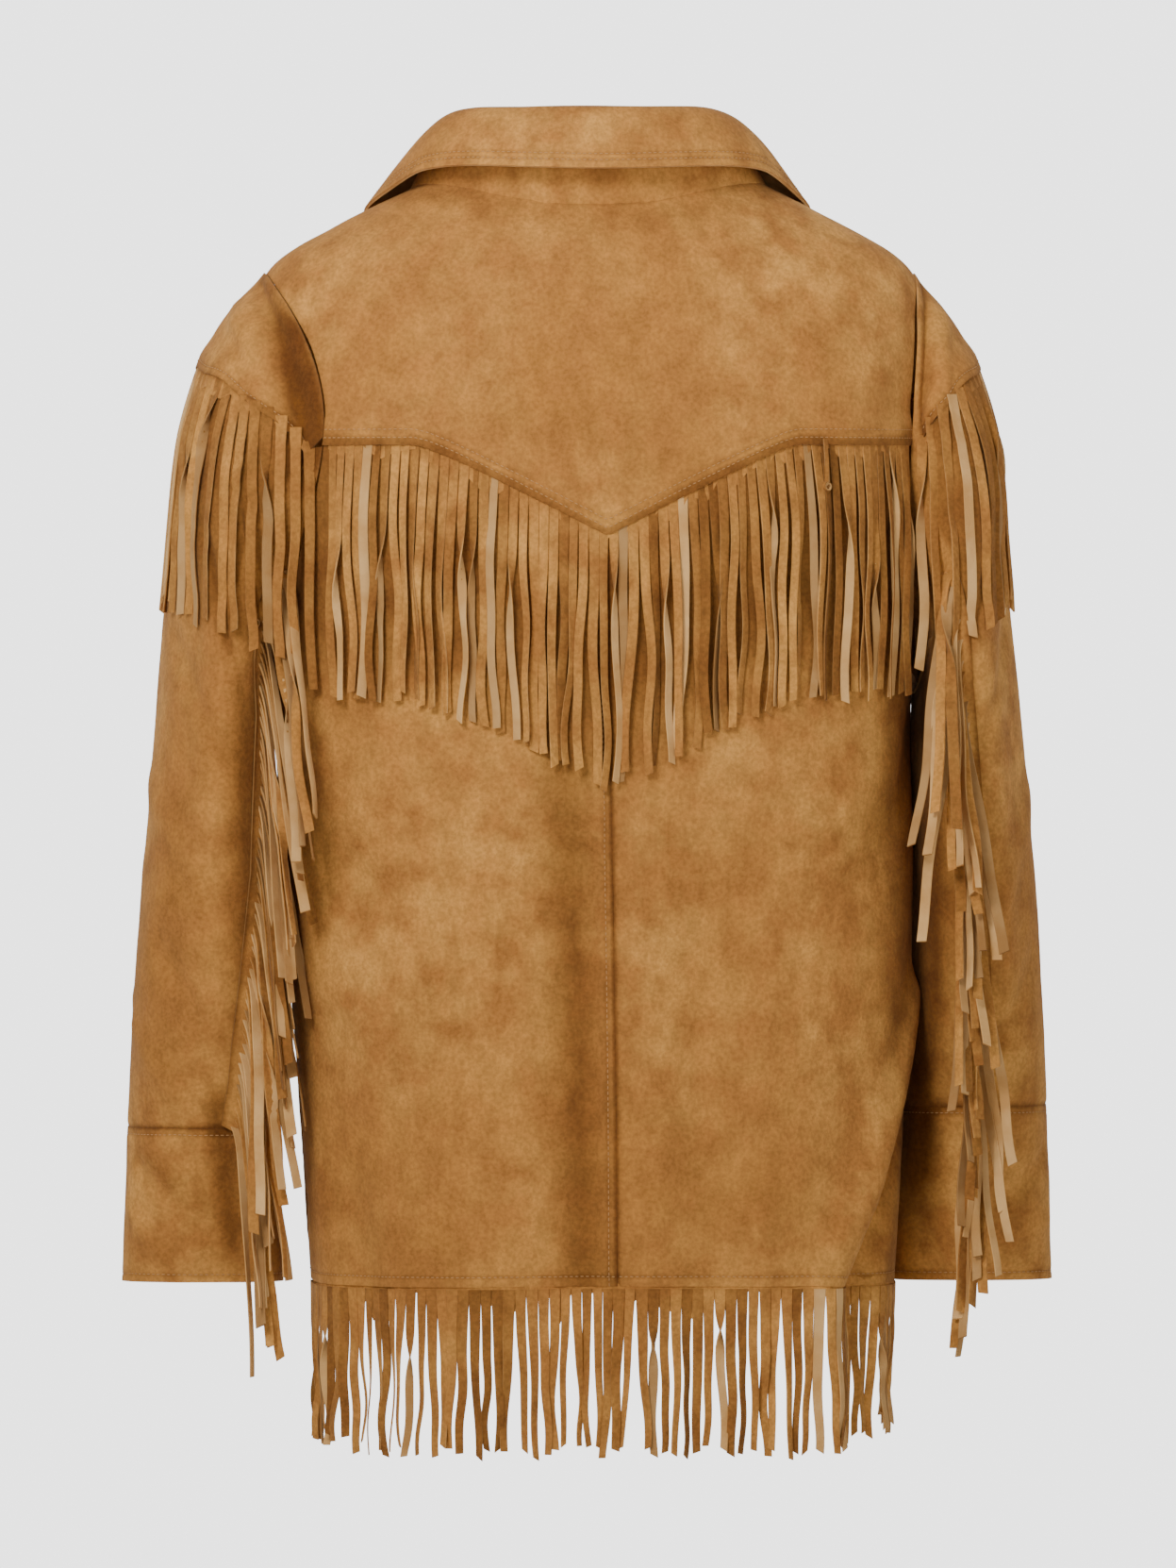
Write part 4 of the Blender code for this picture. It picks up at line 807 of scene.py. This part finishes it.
def grow(name, tree, points, attributes, values):
    """Runs a geometry node tree over separate polylines, points (strands, levels, 3), and keeps the plain mesh."""
    strands, levels = points.shape[:2]
    index = np.arange(strands * levels).reshape(strands, levels)
    edges = np.stack([index[:, :-1], index[:, 1:]], -1).reshape(-1, 2)
    mesh = bpy.data.meshes.new(name + " paths")
    mesh.from_pydata(points.reshape(-1, 3).tolist(), edges.tolist(), [])
    for key, array in attributes.items():
        array = np.asarray(array, np.float32)
        vector = array.ndim == 3
        layer = mesh.attributes.new(key, "FLOAT_VECTOR" if vector else "FLOAT", "POINT")
        layer.data.foreach_set("vector" if vector else "value", array.ravel())
    source = bpy.data.objects.new(name + " paths", mesh)
    bpy.context.scene.collection.objects.link(source)
    modifier = source.modifiers.new("strands", "NODES")
    modifier.node_group = tree
    sockets = {item.name: item.identifier for item in tree.interface.items_tree if item.in_out == "INPUT"}
    for key, value in values.items():
        modifier[sockets[key]] = value
    evaluated = source.evaluated_get(bpy.context.evaluated_depsgraph_get())
    made = bpy.data.meshes.new_from_object(evaluated)
    bpy.data.objects.remove(source)
    made.name = name
    thing = bpy.data.objects.new(name, made)
    bpy.context.scene.collection.objects.link(thing)
    made.shade_smooth()
    made.set_sharp_from_angle(angle=math.radians(40))
    if signedVolume(made) < 0:
        made.flip_normals()
    return thing


def wander(count, levels, seed, low=1.0, high=2.4):
    """Slow sideways waves between about -1 and 1 down each strand."""
    local = random.Random(seed)
    t = np.linspace(0, 1, levels)[None]
    out = np.zeros((count, levels))
    for weight in (1.0, 0.5):
        rate = np.array([local.uniform(low, high) / weight for _ in range(count)])[:, None]
        phase = np.array([local.uniform(0, 6.28) for _ in range(count)])[:, None]
        out += weight * np.sin(rate * t * 3.14 + phase)
    return out / 1.5


def pick(count, seed, low, high):
    local = random.Random(seed)
    return np.array([local.uniform(low, high) for _ in range(count)])[:, None]


def twists(count, levels, seed, share, restless=0.5):
    """Turn about each strand's own line: small for most, half a turn for the ones that show the flesh side."""
    local = random.Random(seed)
    t = np.linspace(0, 1, levels)
    out = np.zeros((count, levels))
    for i in range(count):
        out[i] = restless * math.sin(local.uniform(0, 6.28)) * smooth(t * 1.6)
        if local.random() < share:
            at = local.choice((-0.6, 0.0, 0.15)) + local.uniform(0, 0.2)
            out[i] += local.choice((-1, 1)) * math.pi * smooth((t - at) / local.uniform(0.36, 0.5))
    return out


levels = 26
tree = strandTree()
down = np.linspace(0, 1, levels)[None]


def clumped(count, seed, pull):
    """Sideways pull of neighbouring strands towards each other, in strand widths."""
    local = random.Random(seed)
    aside, first = np.zeros(count), 0
    while first < count:
        size = min(local.randint(3, 7), count - first)
        middle = (size - 1) / 2 + local.uniform(-0.6, 0.6)
        aside[first:first + size] = (middle - np.arange(size)) * pull * local.uniform(0.5, 1.3)
        first += size
    return aside[:, None]


def tones(count, seed):
    """Each strand's own random darkness, with a painted shadow under the edge it hangs from."""
    return 0.75 * pick(count, seed, 0, 1)**2 + 0.12 * (1 - smooth(down / 0.05))


def stripPiece(name, rootRow, cutRow, out, thick):
    """The uncut top of a fringe, from its root to the ends of the cuts."""
    share = np.linspace(0, 1, 4)[:, None, None]
    outer = rootRow[None] * (1 - share) + cutRow[None] * share
    # the seam at the root paints a shadow along the root, under the edge that hangs over it
    return clothWall(name, outer, out[None] + 0 * outer, fringeSuede, thick=thick, rough=0.0, dip=0.1,
                     seams=("bottom",))


def evenSpread(points, values):
    """Turns a share of the level distance along points into the value that belongs there."""
    gap = np.linalg.norm(np.diff(points[:, :2], axis=0), axis=-1)
    gone = np.concatenate([[0], np.cumsum(gap)])
    return lambda along: np.interp(along, gone / gone[-1], values)


def curledStrand(place):
    """One narrow strand of the yoke that has rolled up into a ring."""
    straight, ring = 12, 20
    fall = np.linspace(1, 27, straight) * mm
    turn = np.linspace(-0.5, 1.9, ring) * math.pi
    radius = np.linspace(2.6, 1.7, ring) * mm
    drop = np.concatenate([fall, fall[-1] + 2.6 * mm + radius * np.sin(turn)])[None]
    swing = np.concatenate([0 * fall, radius * np.cos(turn)])[None]
    along = 0.205 + 0 * drop
    points, out = place(along, drop, 0 * drop + wall + 6.5 * mm, swing)
    edgeOn = smooth(np.arange(straight + ring)[None] / straight * 1.4 - 0.4) * math.pi / 2
    return grow("yokeFringeCurl", tree, points, dict(facing=out, turn=edgeOn, width=2.6 * mm + 0 * drop, slant=0 * drop,
                shade=0.35 + 0 * drop), {"Material": fringeSuede, "Thickness": 0.42})


def yokeFringe():
    count = 64
    spread = np.linspace(1.2 - abs(armhole(right, cornerTurn(right))[0]), abs(armhole(left, cornerTurn(left))[0]) - 1.2, 300)
    heights = np.where(spread > 0, seamLevel(left, np.abs(spread)), seamLevel(right, np.abs(spread)))
    girthAt = evenSpread(bodyPoint(spread, heights, False), spread)

    def place(along, drop, offset, swing):
        girth = girthAt(along)
        top = np.where(girth > 0, seamLevel(left, np.abs(girth)), seamLevel(right, np.abs(girth)))
        root, out = bodyPoint(girth, top, False), ringOut(girth)
        level = bodyLevel(girth, root[..., 2] - drop)
        facing = unit(bodyOut(girth, level) * [1, 1, 0])
        push = ((bodyPoint(girth, level) - root) * facing * [1, 1, 0]).sum(-1) / (out * facing).sum(-1)
        aside = np.stack([out[..., 1], -out[..., 0], 0 * girth], -1) * swing[..., None]
        point = root + aside + out * (np.maximum(push, 0) + offset)[..., None]
        return point - np.array([0, 0, 1]) * np.asarray(drop)[..., None], out
    along = (np.arange(count)[:, None] + 0.5) / count + 0 * down
    length = 0.155 + 0.004 * pick(count, 3, -1, 1)
    start = 1 * mm
    drop = start + (length - start) * down
    swing = wander(count, levels, 5) * (3.0 * mm * smooth(down * 1.2)) + pick(count, 6, -2.0, 2.0) * mm * down
    swing = swing + clumped(count, 14, 1.1 * mm) * down**1.3
    turn = twists(count, levels, 7, 0.26, 0.7)
    layer = (np.arange(count) * 5 % 3)[:, None] * 1.1 * mm
    offset = wall + 0.4 * mm + (1.5 * mm + layer) * smooth(down * 3) + 1.8 * mm * np.abs(np.sin(turn))
    points, out = place(along, drop, offset, swing)
    pitch = np.linalg.norm(points[1:, 0] - points[:-1, 0], axis=-1).mean()
    width = pitch * (1.0 - 0.1 * smooth(down * 9)) * (1 - 0.08 * down) * (1 + 0.12 * pick(count, 8, -1, 1))
    slant = pick(count, 9, -2.5, 2.5) * mm * smooth((down - 0.93) / 0.07)
    thing = grow("yokeFringe", tree, points, dict(facing=out, turn=turn, width=width, slant=slant,
                 shade=tones(count, 10)), {"Material": fringeSuede, "Thickness": 0.19})
    curl = curledStrand(place)
    line = np.linspace(0, 1, count * 4 + 1)
    zero = np.zeros_like(line)
    root, out = place(line, zero + 0.3 * mm, zero + wall + 0.8 * mm, zero)
    cuts = np.interp(line * count, np.arange(count + 1), pick(count + 1, 12, 5.0, 15.0).ravel()) * mm
    end, _ = place(line, cuts, zero + wall + 1.0 * mm, zero)
    strip = stripPiece("yokeFringeStrip", root, end, out, 0.95 * mm)
    return [thing, strip, curl]


def hemFringe():
    count = 78
    spread = np.linspace(0.4 - sideSeam, sideSeam - 0.4, 300)
    girthAt = evenSpread(bodyPoint(spread, 0 * spread), spread)

    def place(along, drop, offset, swing):
        girth = girthAt(along)
        out = unit(bodyOut(girth, 0 * girth) * [1, 1, 0])
        aside = np.stack([out[..., 1], -out[..., 0], 0 * girth], -1)
        point = bodyPoint(girth, 0 * girth) + out * offset[..., None] + aside * swing[..., None]
        return point - np.array([0, 0, 1]) * np.asarray(drop)[..., None], out
    along = (np.arange(count)[:, None] + 0.5) / count + 0 * down
    length = (0.1 + 0.005 * pick(count, 23, -1, 1)) * (1 - np.where(along[:, :1] < 0.5, 0.2, 0.12) * np.abs(2 * along[:, :1] - 1)**3)
    drop = 1.5 * mm + (length - 1.5 * mm) * down
    swing = wander(count, levels, 25) * (1.7 * mm * smooth(down * 1.2)) + pick(count, 26, -1.5, 1.5) * mm * down
    swing = swing + clumped(count, 34, 1.5 * mm) * down**1.2
    turn = twists(count, levels, 27, 0.05, 0.75)
    drawnIn = np.where(along < 0.5, 10.0, 4.0) * mm * np.abs(2 * along - 1)**6 * down
    offset = 1.4 * mm + wander(count, levels, 28) * 3 * mm * down - drawnIn
    points, out = place(along, drop, offset, swing)
    pitch = np.linalg.norm(points[1:, 0] - points[:-1, 0], axis=-1)
    pitch = np.append(pitch, pitch[-1])[:, None]
    width = pitch * (1.0 - 0.1 * smooth(down * 5)) * (1 - 0.26 * down**1.5) * (1 + 0.14 * pick(count, 29, -1, 1))
    slant = pick(count, 30, -3.5, 3.5) * mm * smooth((down - 0.9) / 0.1)
    thing = grow("hemFringe", tree, points, dict(facing=out, turn=turn, width=width, slant=slant,
                 shade=tones(count, 31)), {"Material": fringeSuede, "Thickness": 0.19})
    line = np.linspace(0, 1, count * 4 + 1)
    zero = np.zeros_like(line)
    root, out = place(line, zero - 5 * mm, zero + 0.2 * mm, zero)
    cuts = np.interp(line * count, np.arange(count + 1), (3.0 + 20.0 * pick(count + 1, 32, 0, 1)**2.5).ravel()) * mm
    end, _ = place(line, cuts, zero + 1.3 * mm, zero)
    strip = stripPiece("hemFringeStrip", root, end, out, 1.2 * mm)
    return [thing, strip]


def armOut(side, turn):
    turn = np.radians(turn)
    return np.stack([side["sign"] * np.cos(turn), np.sin(turn), 0 * turn], -1)


def capFringe(side):
    count = 25
    spread = np.linspace(-76.0, cornerTurn(side) - 1.5, 200)
    turnAt = evenSpread(sleevePoint(side, spread, capLevel(side, spread), False), spread)

    def place(along, drop, offset, swing):
        turn = turnAt(along)
        root, out = sleevePoint(side, turn, capLevel(side, turn), False), armOut(side, turn)
        aside = np.stack([-out[..., 1], out[..., 0], 0 * turn], -1) * side["sign"]
        push = np.full(turn.shape, -9.0)
        cloth = []
        for step in (-24, -16, -8, 0, 8, 16, 24):
            near = turn + step
            level = bisect(lambda value: sleevePoint(side, near, value, False)[..., 2], root[..., 2] - drop,
                           0 * near, 0 * near + wrist)
            cloth.append(sleevePoint(side, near, level) - root)
        sides = np.stack([(one * aside).sum(-1) for one in cloth])
        outs = np.stack([(one * out).sum(-1) for one in cloth])
        flatSides, flatOuts = sides.reshape(7, -1), outs.reshape(7, -1)
        push = np.array([np.interp(0, flatSides[:, i], flatOuts[:, i]) for i in range(flatSides.shape[1])]).reshape(turn.shape)
        point = root + out * (np.maximum(push, 0) + offset)[..., None] + aside * swing[..., None]
        return point - np.array([0, 0, 1]) * np.asarray(drop)[..., None], out
    seed = 40 if side is left else 60
    along = (np.arange(count)[:, None] + 0.5) / count + 0 * down
    length = 0.146 + 0.005 * pick(count, seed, -1, 1)
    drop = 1 * mm + (length - 1 * mm) * down
    swing = wander(count, levels, seed + 1) * (2.2 * mm * smooth(down * 1.2)) + pick(count, seed + 2, -2, 2) * mm * down
    turn = twists(count, levels, seed + 3, 0.3)
    layer = (np.arange(count) * 5 % 3)[:, None] * 1.1 * mm
    near = smooth((along - 0.72) / 0.2) * (1 - smooth(down * 3 - 1))    # clear of the fold at the armhole
    offset = (0.6 + 1.8 * near) * mm + (0.5 * mm + 0.5 * layer) * smooth(down * 3) + 1.0 * mm * np.abs(np.sin(turn))
    points, out = place(along, drop, offset, swing)
    pitch = np.linalg.norm(points[1:, 0] - points[:-1, 0], axis=-1)
    pitch = np.append(pitch, pitch[-1])[:, None]
    width = np.minimum(pitch, 7.5 * mm) * (1.0 - 0.14 * smooth(down * 9)) * (1 - 0.1 * down)
    slant = pick(count, seed + 4, -2.5, 2.5) * mm * smooth((down - 0.93) / 0.07)
    thing = grow("capFringe" + side["title"], tree, points, dict(facing=out, turn=turn, width=width, slant=slant,
                 shade=tones(count, seed + 5)), {"Material": fringeSuede, "Thickness": 0.19})
    line = np.linspace(0, 1, count * 4 + 1)
    zero = np.zeros_like(line)
    root, out = place(line, zero + 0.6 * mm, zero + 1.3 * mm, zero)
    cuts = np.interp(line * count, np.arange(count + 1), pick(count + 1, seed + 6, 5.0, 13.0).ravel()) * mm
    end, _ = place(line, cuts, zero + 1.4 * mm, zero)
    strip = stripPiece("capFringeStrip" + side["title"], root, end, out, 0.95 * mm)
    return [thing, strip]


def seamFringe(side):
    count = 52
    start, end = side["seamStart"], side["cuffStart"] - 0.03
    table = np.linspace(start, end, 200)
    heights = sleevePoint(side, seamTurn(side, table), table, False)[:, 2]

    def frameAt(along):
        height = heights[0] + (heights[-1] - heights[0]) * along
        level = np.interp(-height, -heights, table)
        turn = seamTurn(side, level)
        out = sleeveOut(side, turn, level)
        across = unit(np.cross(np.array([0, 0, -1.0]), out))
        inward = sleevePoint(side, turn + 2, level) - sleevePoint(side, turn - 2, level)
        across = across * np.sign((across * inward).sum(-1, keepdims=True))
        return sleevePoint(side, turn, level), out, across
    seed = 80 if side is left else 100
    along = (np.arange(count)[:, None] + 0.5) / count
    point, out, across = frameAt(along)
    length = (0.149 + 0.006 * pick(count, seed, -1, 1)) * (1 + 0.07 * along**8)
    bend = 0.05
    flick = pick(count, seed + 1, -1, 1)
    flick = 0.08 * flick + 0.14 * flick**5
    run = length * down
    aside = 1.5 * mm + 0.6 * bend * length * (1 - np.exp(-down / bend))
    fall = length * (down - 0.3 * bend * (1 - np.exp(-down / bend)))
    lean = side["lean"] + side["sweep"] * along**2 + flick * (1 - 0.7 * along**4)
    shingle = side["shingle"] + 0.24 * (1 - along)**3 + 0.03 * pick(count, seed + 2, -1, 1)
    aside = aside + lean * run + wander(count, levels, seed + 3) * 2.5 * mm * smooth(down * 1.2)
    back = unit((out + [0, 2, 0]) * [1, 1, 0])
    turn = twists(count, levels, seed + 4, 0.25, 0.8) + math.pi * (pick(count, seed + 5, 0, 1) < 0.7)
    outward = 0.7 * mm + (0.8 + 1.5 * np.abs(np.sin(turn))) * mm * smooth(down * 7)
    points = (point + across * aside[..., None] + out * outward[..., None] + back * (shingle * run)[..., None]
              - np.array([0, 0, 1]) * fall[..., None])
    width = 6.6 * mm * (1 - 0.08 * down) * (1 + 0.1 * pick(count, seed + 6, -1, 1)) + 0 * points[..., 0]
    slant = pick(count, seed + 7, -2.5, 2.5) * mm * smooth((down - 0.93) / 0.07)
    facing = unit(out + 0 * points)
    thing = grow("sleeveFringe" + side["title"], tree, points, dict(facing=facing, turn=turn, width=width, slant=slant,
                 shade=tones(count, seed + 8)), {"Material": fringeSuede, "Thickness": 0.19})
    line = np.linspace(0, 1, count * 3 + 1)
    point, out, across = frameAt(line)
    fallen = np.array([0, 0, 1]) * 5 * mm
    strip = stripPiece("sleeveFringeStrip" + side["title"], point - across * 5 * mm + out * 1.15 * mm,
                       point + across * 5.5 * mm + out * 3.0 * mm - fallen, out, 1.0 * mm)
    return [thing, strip]


fringes = dict(yoke=yokeFringe(), hem=hemFringe())
for side in (left, right):
    fringes["cap " + side["name"]] = capFringe(side)
    fringes["sleeve " + side["name"]] = seamFringe(side)
print("fringe done")


# ---- stitches along lines on the finished cloth ----
def stitchTree():
    tree = bpy.data.node_groups.new("stitch rows", "GeometryNodeTree")
    face = tree.interface
    face.new_socket("Geometry", in_out="INPUT", socket_type="NodeSocketGeometry")
    face.new_socket("Spacing", in_out="INPUT", socket_type="NodeSocketFloat")
    face.new_socket("Stitch Length", in_out="INPUT", socket_type="NodeSocketFloat")
    face.new_socket("Thread Radius", in_out="INPUT", socket_type="NodeSocketFloat")
    face.new_socket("Material", in_out="INPUT", socket_type="NodeSocketMaterial")
    face.new_socket("Geometry", in_out="OUTPUT", socket_type="NodeSocketGeometry")
    add, link = tree.nodes.new, tree.links.new
    start, end = add("NodeGroupInput"), add("NodeGroupOutput")
    curve = add("GeometryNodeMeshToCurve")
    link(start.outputs["Geometry"], curve.inputs["Mesh"])
    even = add("GeometryNodeResampleCurve")
    even.mode = "LENGTH"
    link(curve.outputs[0], even.inputs["Curve"])
    link(start.outputs["Spacing"], even.inputs["Length"])
    up = add("GeometryNodeInputNamedAttribute")
    up.data_type = "FLOAT_VECTOR"
    up.inputs["Name"].default_value = "facing"
    tangent = add("GeometryNodeInputTangent")
    first = add("FunctionNodeAlignRotationToVector")
    first.axis = "X"
    link(tangent.outputs[0], first.inputs["Vector"])
    second = add("FunctionNodeAlignRotationToVector")
    second.axis, second.pivot_axis = "Z", "X"
    link(first.outputs[0], second.inputs["Rotation"])
    link(up.outputs["Attribute"], second.inputs["Vector"])
    ball = add("GeometryNodeMeshUVSphere")
    ball.inputs["Segments"].default_value = 6
    ball.inputs["Rings"].default_value = 5
    ball.inputs["Radius"].default_value = 1.0
    size = add("ShaderNodeCombineXYZ")
    half = add("ShaderNodeMath")
    half.operation = "MULTIPLY"
    half.inputs[1].default_value = 0.5
    link(start.outputs["Stitch Length"], half.inputs[0])
    link(half.outputs[0], size.inputs["X"])
    link(start.outputs["Thread Radius"], size.inputs["Y"])
    link(start.outputs["Thread Radius"], size.inputs["Z"])
    place = add("GeometryNodeInstanceOnPoints")
    link(even.outputs[0], place.inputs["Points"])
    link(ball.outputs[0], place.inputs["Instance"])
    link(second.outputs[0], place.inputs["Rotation"])
    link(size.outputs[0], place.inputs["Scale"])
    joined = add("GeometryNodeRealizeInstances")
    link(place.outputs[0], joined.inputs[0])
    paint = add("GeometryNodeSetMaterial")
    link(joined.outputs[0], paint.inputs["Geometry"])
    link(start.outputs["Material"], paint.inputs["Material"])
    link(paint.outputs[0], end.inputs[0])
    return tree


def lineOn(name, edge, distance, trim=2):
    """Points and normals on a finished piece, a distance in from one of its edges."""
    piece = pieces[name]
    face, normal = piece["face"], piece["normal"]
    if edge in ("left", "right"):
        face, normal = face.transpose(1, 0, 2), normal.transpose(1, 0, 2)
    if edge in ("top", "right"):
        face, normal = face[::-1], normal[::-1]
    away = np.concatenate([np.zeros((1, face.shape[1])), np.cumsum(np.linalg.norm(np.diff(face, axis=0), axis=-1), 0)])
    index = np.clip((away < distance).sum(0) - 1, 0, len(face) - 2)
    one = np.arange(face.shape[1])
    share = ((distance - away[index, one]) / (away[index + 1, one] - away[index, one]))[:, None]
    point = face[index, one] * (1 - share) + face[index + 1, one] * share
    out = unit(normal[index, one] * (1 - share) + normal[index + 1, one] * share)
    return (point + out * 0.12 * mm)[trim:-trim], out[trim:-trim]


stitchLines = [
    ("yokePanel", "bottom", 4.5), ("yokePanel", "bottom", 9.5), ("collarLeaf", "top", 5), ("collarLeaf", "top", 9),
    ("backLeft", "left", 5), ("backLeft", "bottom", 6), ("backRight", "bottom", 6),
    ("frontLeft", "right", 6), ("frontRight", "right", 6), ("frontRight", "right", 34),
    ("frontLeft", "bottom", 8), ("frontRight", "bottom", 8),
    ("capLeft", "top", 4.5), ("capRight", "top", 4.5),
    ("cuffLeft", "bottom", 4), ("cuffRight", "bottom", 4), ("cuffLeft", "top", 5), ("cuffRight", "top", 5)]


def stitches():
    tree = stitchTree()
    made = []
    for number, (name, edge, distance) in enumerate(stitchLines):
        line, out = lineOn(name, edge, distance * mm)
        made.append(grow("stitches%d" % number, tree, line[None], dict(facing=out[None]),
                         {"Spacing": 3.3 * mm, "Stitch Length": 2.5 * mm, "Thread Radius": 0.32 * mm, "Material": thread}))
    with bpy.context.temp_override(active_object=made[0], selected_editable_objects=made, selected_objects=made):
        bpy.ops.object.join()
    made[0].name = made[0].data.name = "stitches"
    return made[0]


sewing = stitches()
print("stitches done")


soft = {    # piece: slot, node it replaces
    "backLeft": ("suede", "back_left"), "backRight": ("suede", "back_right"), "yokePanel": ("suede", "yoke"),
    "frontLeft": ("suede", "front_left"), "frontRight": ("suede", "front_right"),
    "collarStand": ("suede", "collar_stand"), "collarLeaf": ("suede", "collar_leaf"),
    "capLeft": ("suede", "sleeve_cap_left"), "capRight": ("suede", "sleeve_cap_right"),
    "sleeveLeft": ("suede", "sleeve_left"), "sleeveRight": ("suede", "sleeve_right"),
    "cuffLeft": ("suede", "cuff_left"), "cuffRight": ("suede", "cuff_right")}
fringeNodes = {"yoke": "fringe_yoke", "hem": "fringe_hem", "cap left": "fringe_cap_left", "cap right": "fringe_cap_right",
               "sleeve left": "fringe_sleeve_left", "sleeve right": "fringe_sleeve_right"}
for name, (slotName, nodeName) in soft.items():
    thing = pieces[name]["thing"]
    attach(thing, "root")
    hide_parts(nodeName)
for key, things in fringes.items():
    for thing in things:
        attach(thing, "root")
    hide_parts(fringeNodes[key])
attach(sewing, "root")
for number in range(6):
    button = bpy.data.objects["button_%d" % (number + 1)]
    button.data.materials.clear()
    button.data.materials.append(horn)


# ---- studio ----
def area(name, place, target, size, power, colour=(1, 1, 1)):
    lamp = bpy.data.lights.new(name, "AREA")
    lamp.shape, lamp.size, lamp.energy, lamp.color = "DISK", size, power, colour
    thing = bpy.data.objects.new(name, lamp)
    thing.location = place
    thing.rotation_euler = (Vector(target) - Vector(place)).to_track_quat("-Z", "Y").to_euler()
    bpy.context.scene.collection.objects.link(thing)


def floor():
    angle = np.radians(np.arange(96) * 3.75)
    points = np.stack([5.4 * np.cos(angle), 5.4 * np.sin(angle), 0 * angle - 1.15], -1)
    pale = plainMaterial("floor", (0.86, 0.86, 0.86), 0.95, 0.1)
    makeMesh("floor", points, [list(range(96))], pale)


floor()
target = Vector((0.0, 0.0, -0.351))
camera = bpy.data.cameras.new("camera")
camera.sensor_fit = "VERTICAL"
camera.sensor_height = 24.0
camera.sensor_width = 36.0
distance = 12.0
camera.lens = 12.0 / (0.4745 / distance)
viewer = bpy.data.objects.new("camera", camera)
azimuth, elevation = math.radians(176), math.radians(1)
back = Vector((math.sin(azimuth) * math.cos(elevation), -math.cos(azimuth) * math.cos(elevation), math.sin(elevation)))
viewer.location = target + back * distance
viewer.rotation_euler = (-back).to_track_quat("-Z", "Y").to_euler()
bpy.context.scene.collection.objects.link(viewer)
bpy.context.scene.camera = viewer
area("key", (1.2, 2.4, 1.2), (0, 0, -0.2), 1.0, 72)
area("fill", (-2.8, 2.6, 0.4), (0, 0, -0.35), 2.4, 20)
area("top", (0.3, 0.5, 2.4), (0, 0, -0.2), 1.2, 24)
area("front", (0.0, -2.4, 1.6), (0, 0, -0.3), 2.0, 22)
world = bpy.data.worlds.new("studio")
bpy.context.scene.world = world
world.use_nodes = True
sky = world.node_tree    # bright round the horizon, dimmer above and below
toward = node(sky, "ShaderNodeTexCoord", (-800, 0))
parts = node(sky, "ShaderNodeSeparateXYZ", (-600, 0))
lowered = node(sky, "ShaderNodeMath", (-480, 0), operation="ADD")
lowered.inputs[1].default_value = 0.1
height = node(sky, "ShaderNodeMath", (-340, 0), operation="ABSOLUTE")
band = node(sky, "ShaderNodeMapRange", (-200, 0), interpolation_type="SMOOTHSTEP")
for key, value in (("From Min", 0.125), ("From Max", 0.21), ("To Min", 2.9), ("To Max", 0.07)):
    band.inputs[key].default_value = value
sky.links.new(toward.outputs["Generated"], parts.inputs[0])
sky.links.new(parts.outputs["Z"], lowered.inputs[0])
sky.links.new(lowered.outputs[0], height.inputs[0])
sky.links.new(height.outputs[0], band.inputs["Value"])
sky.nodes["Background"].inputs["Color"].default_value = (1, 1, 1, 1)
sky.links.new(band.outputs[0], sky.nodes["Background"].inputs["Strength"])
print("studio done")
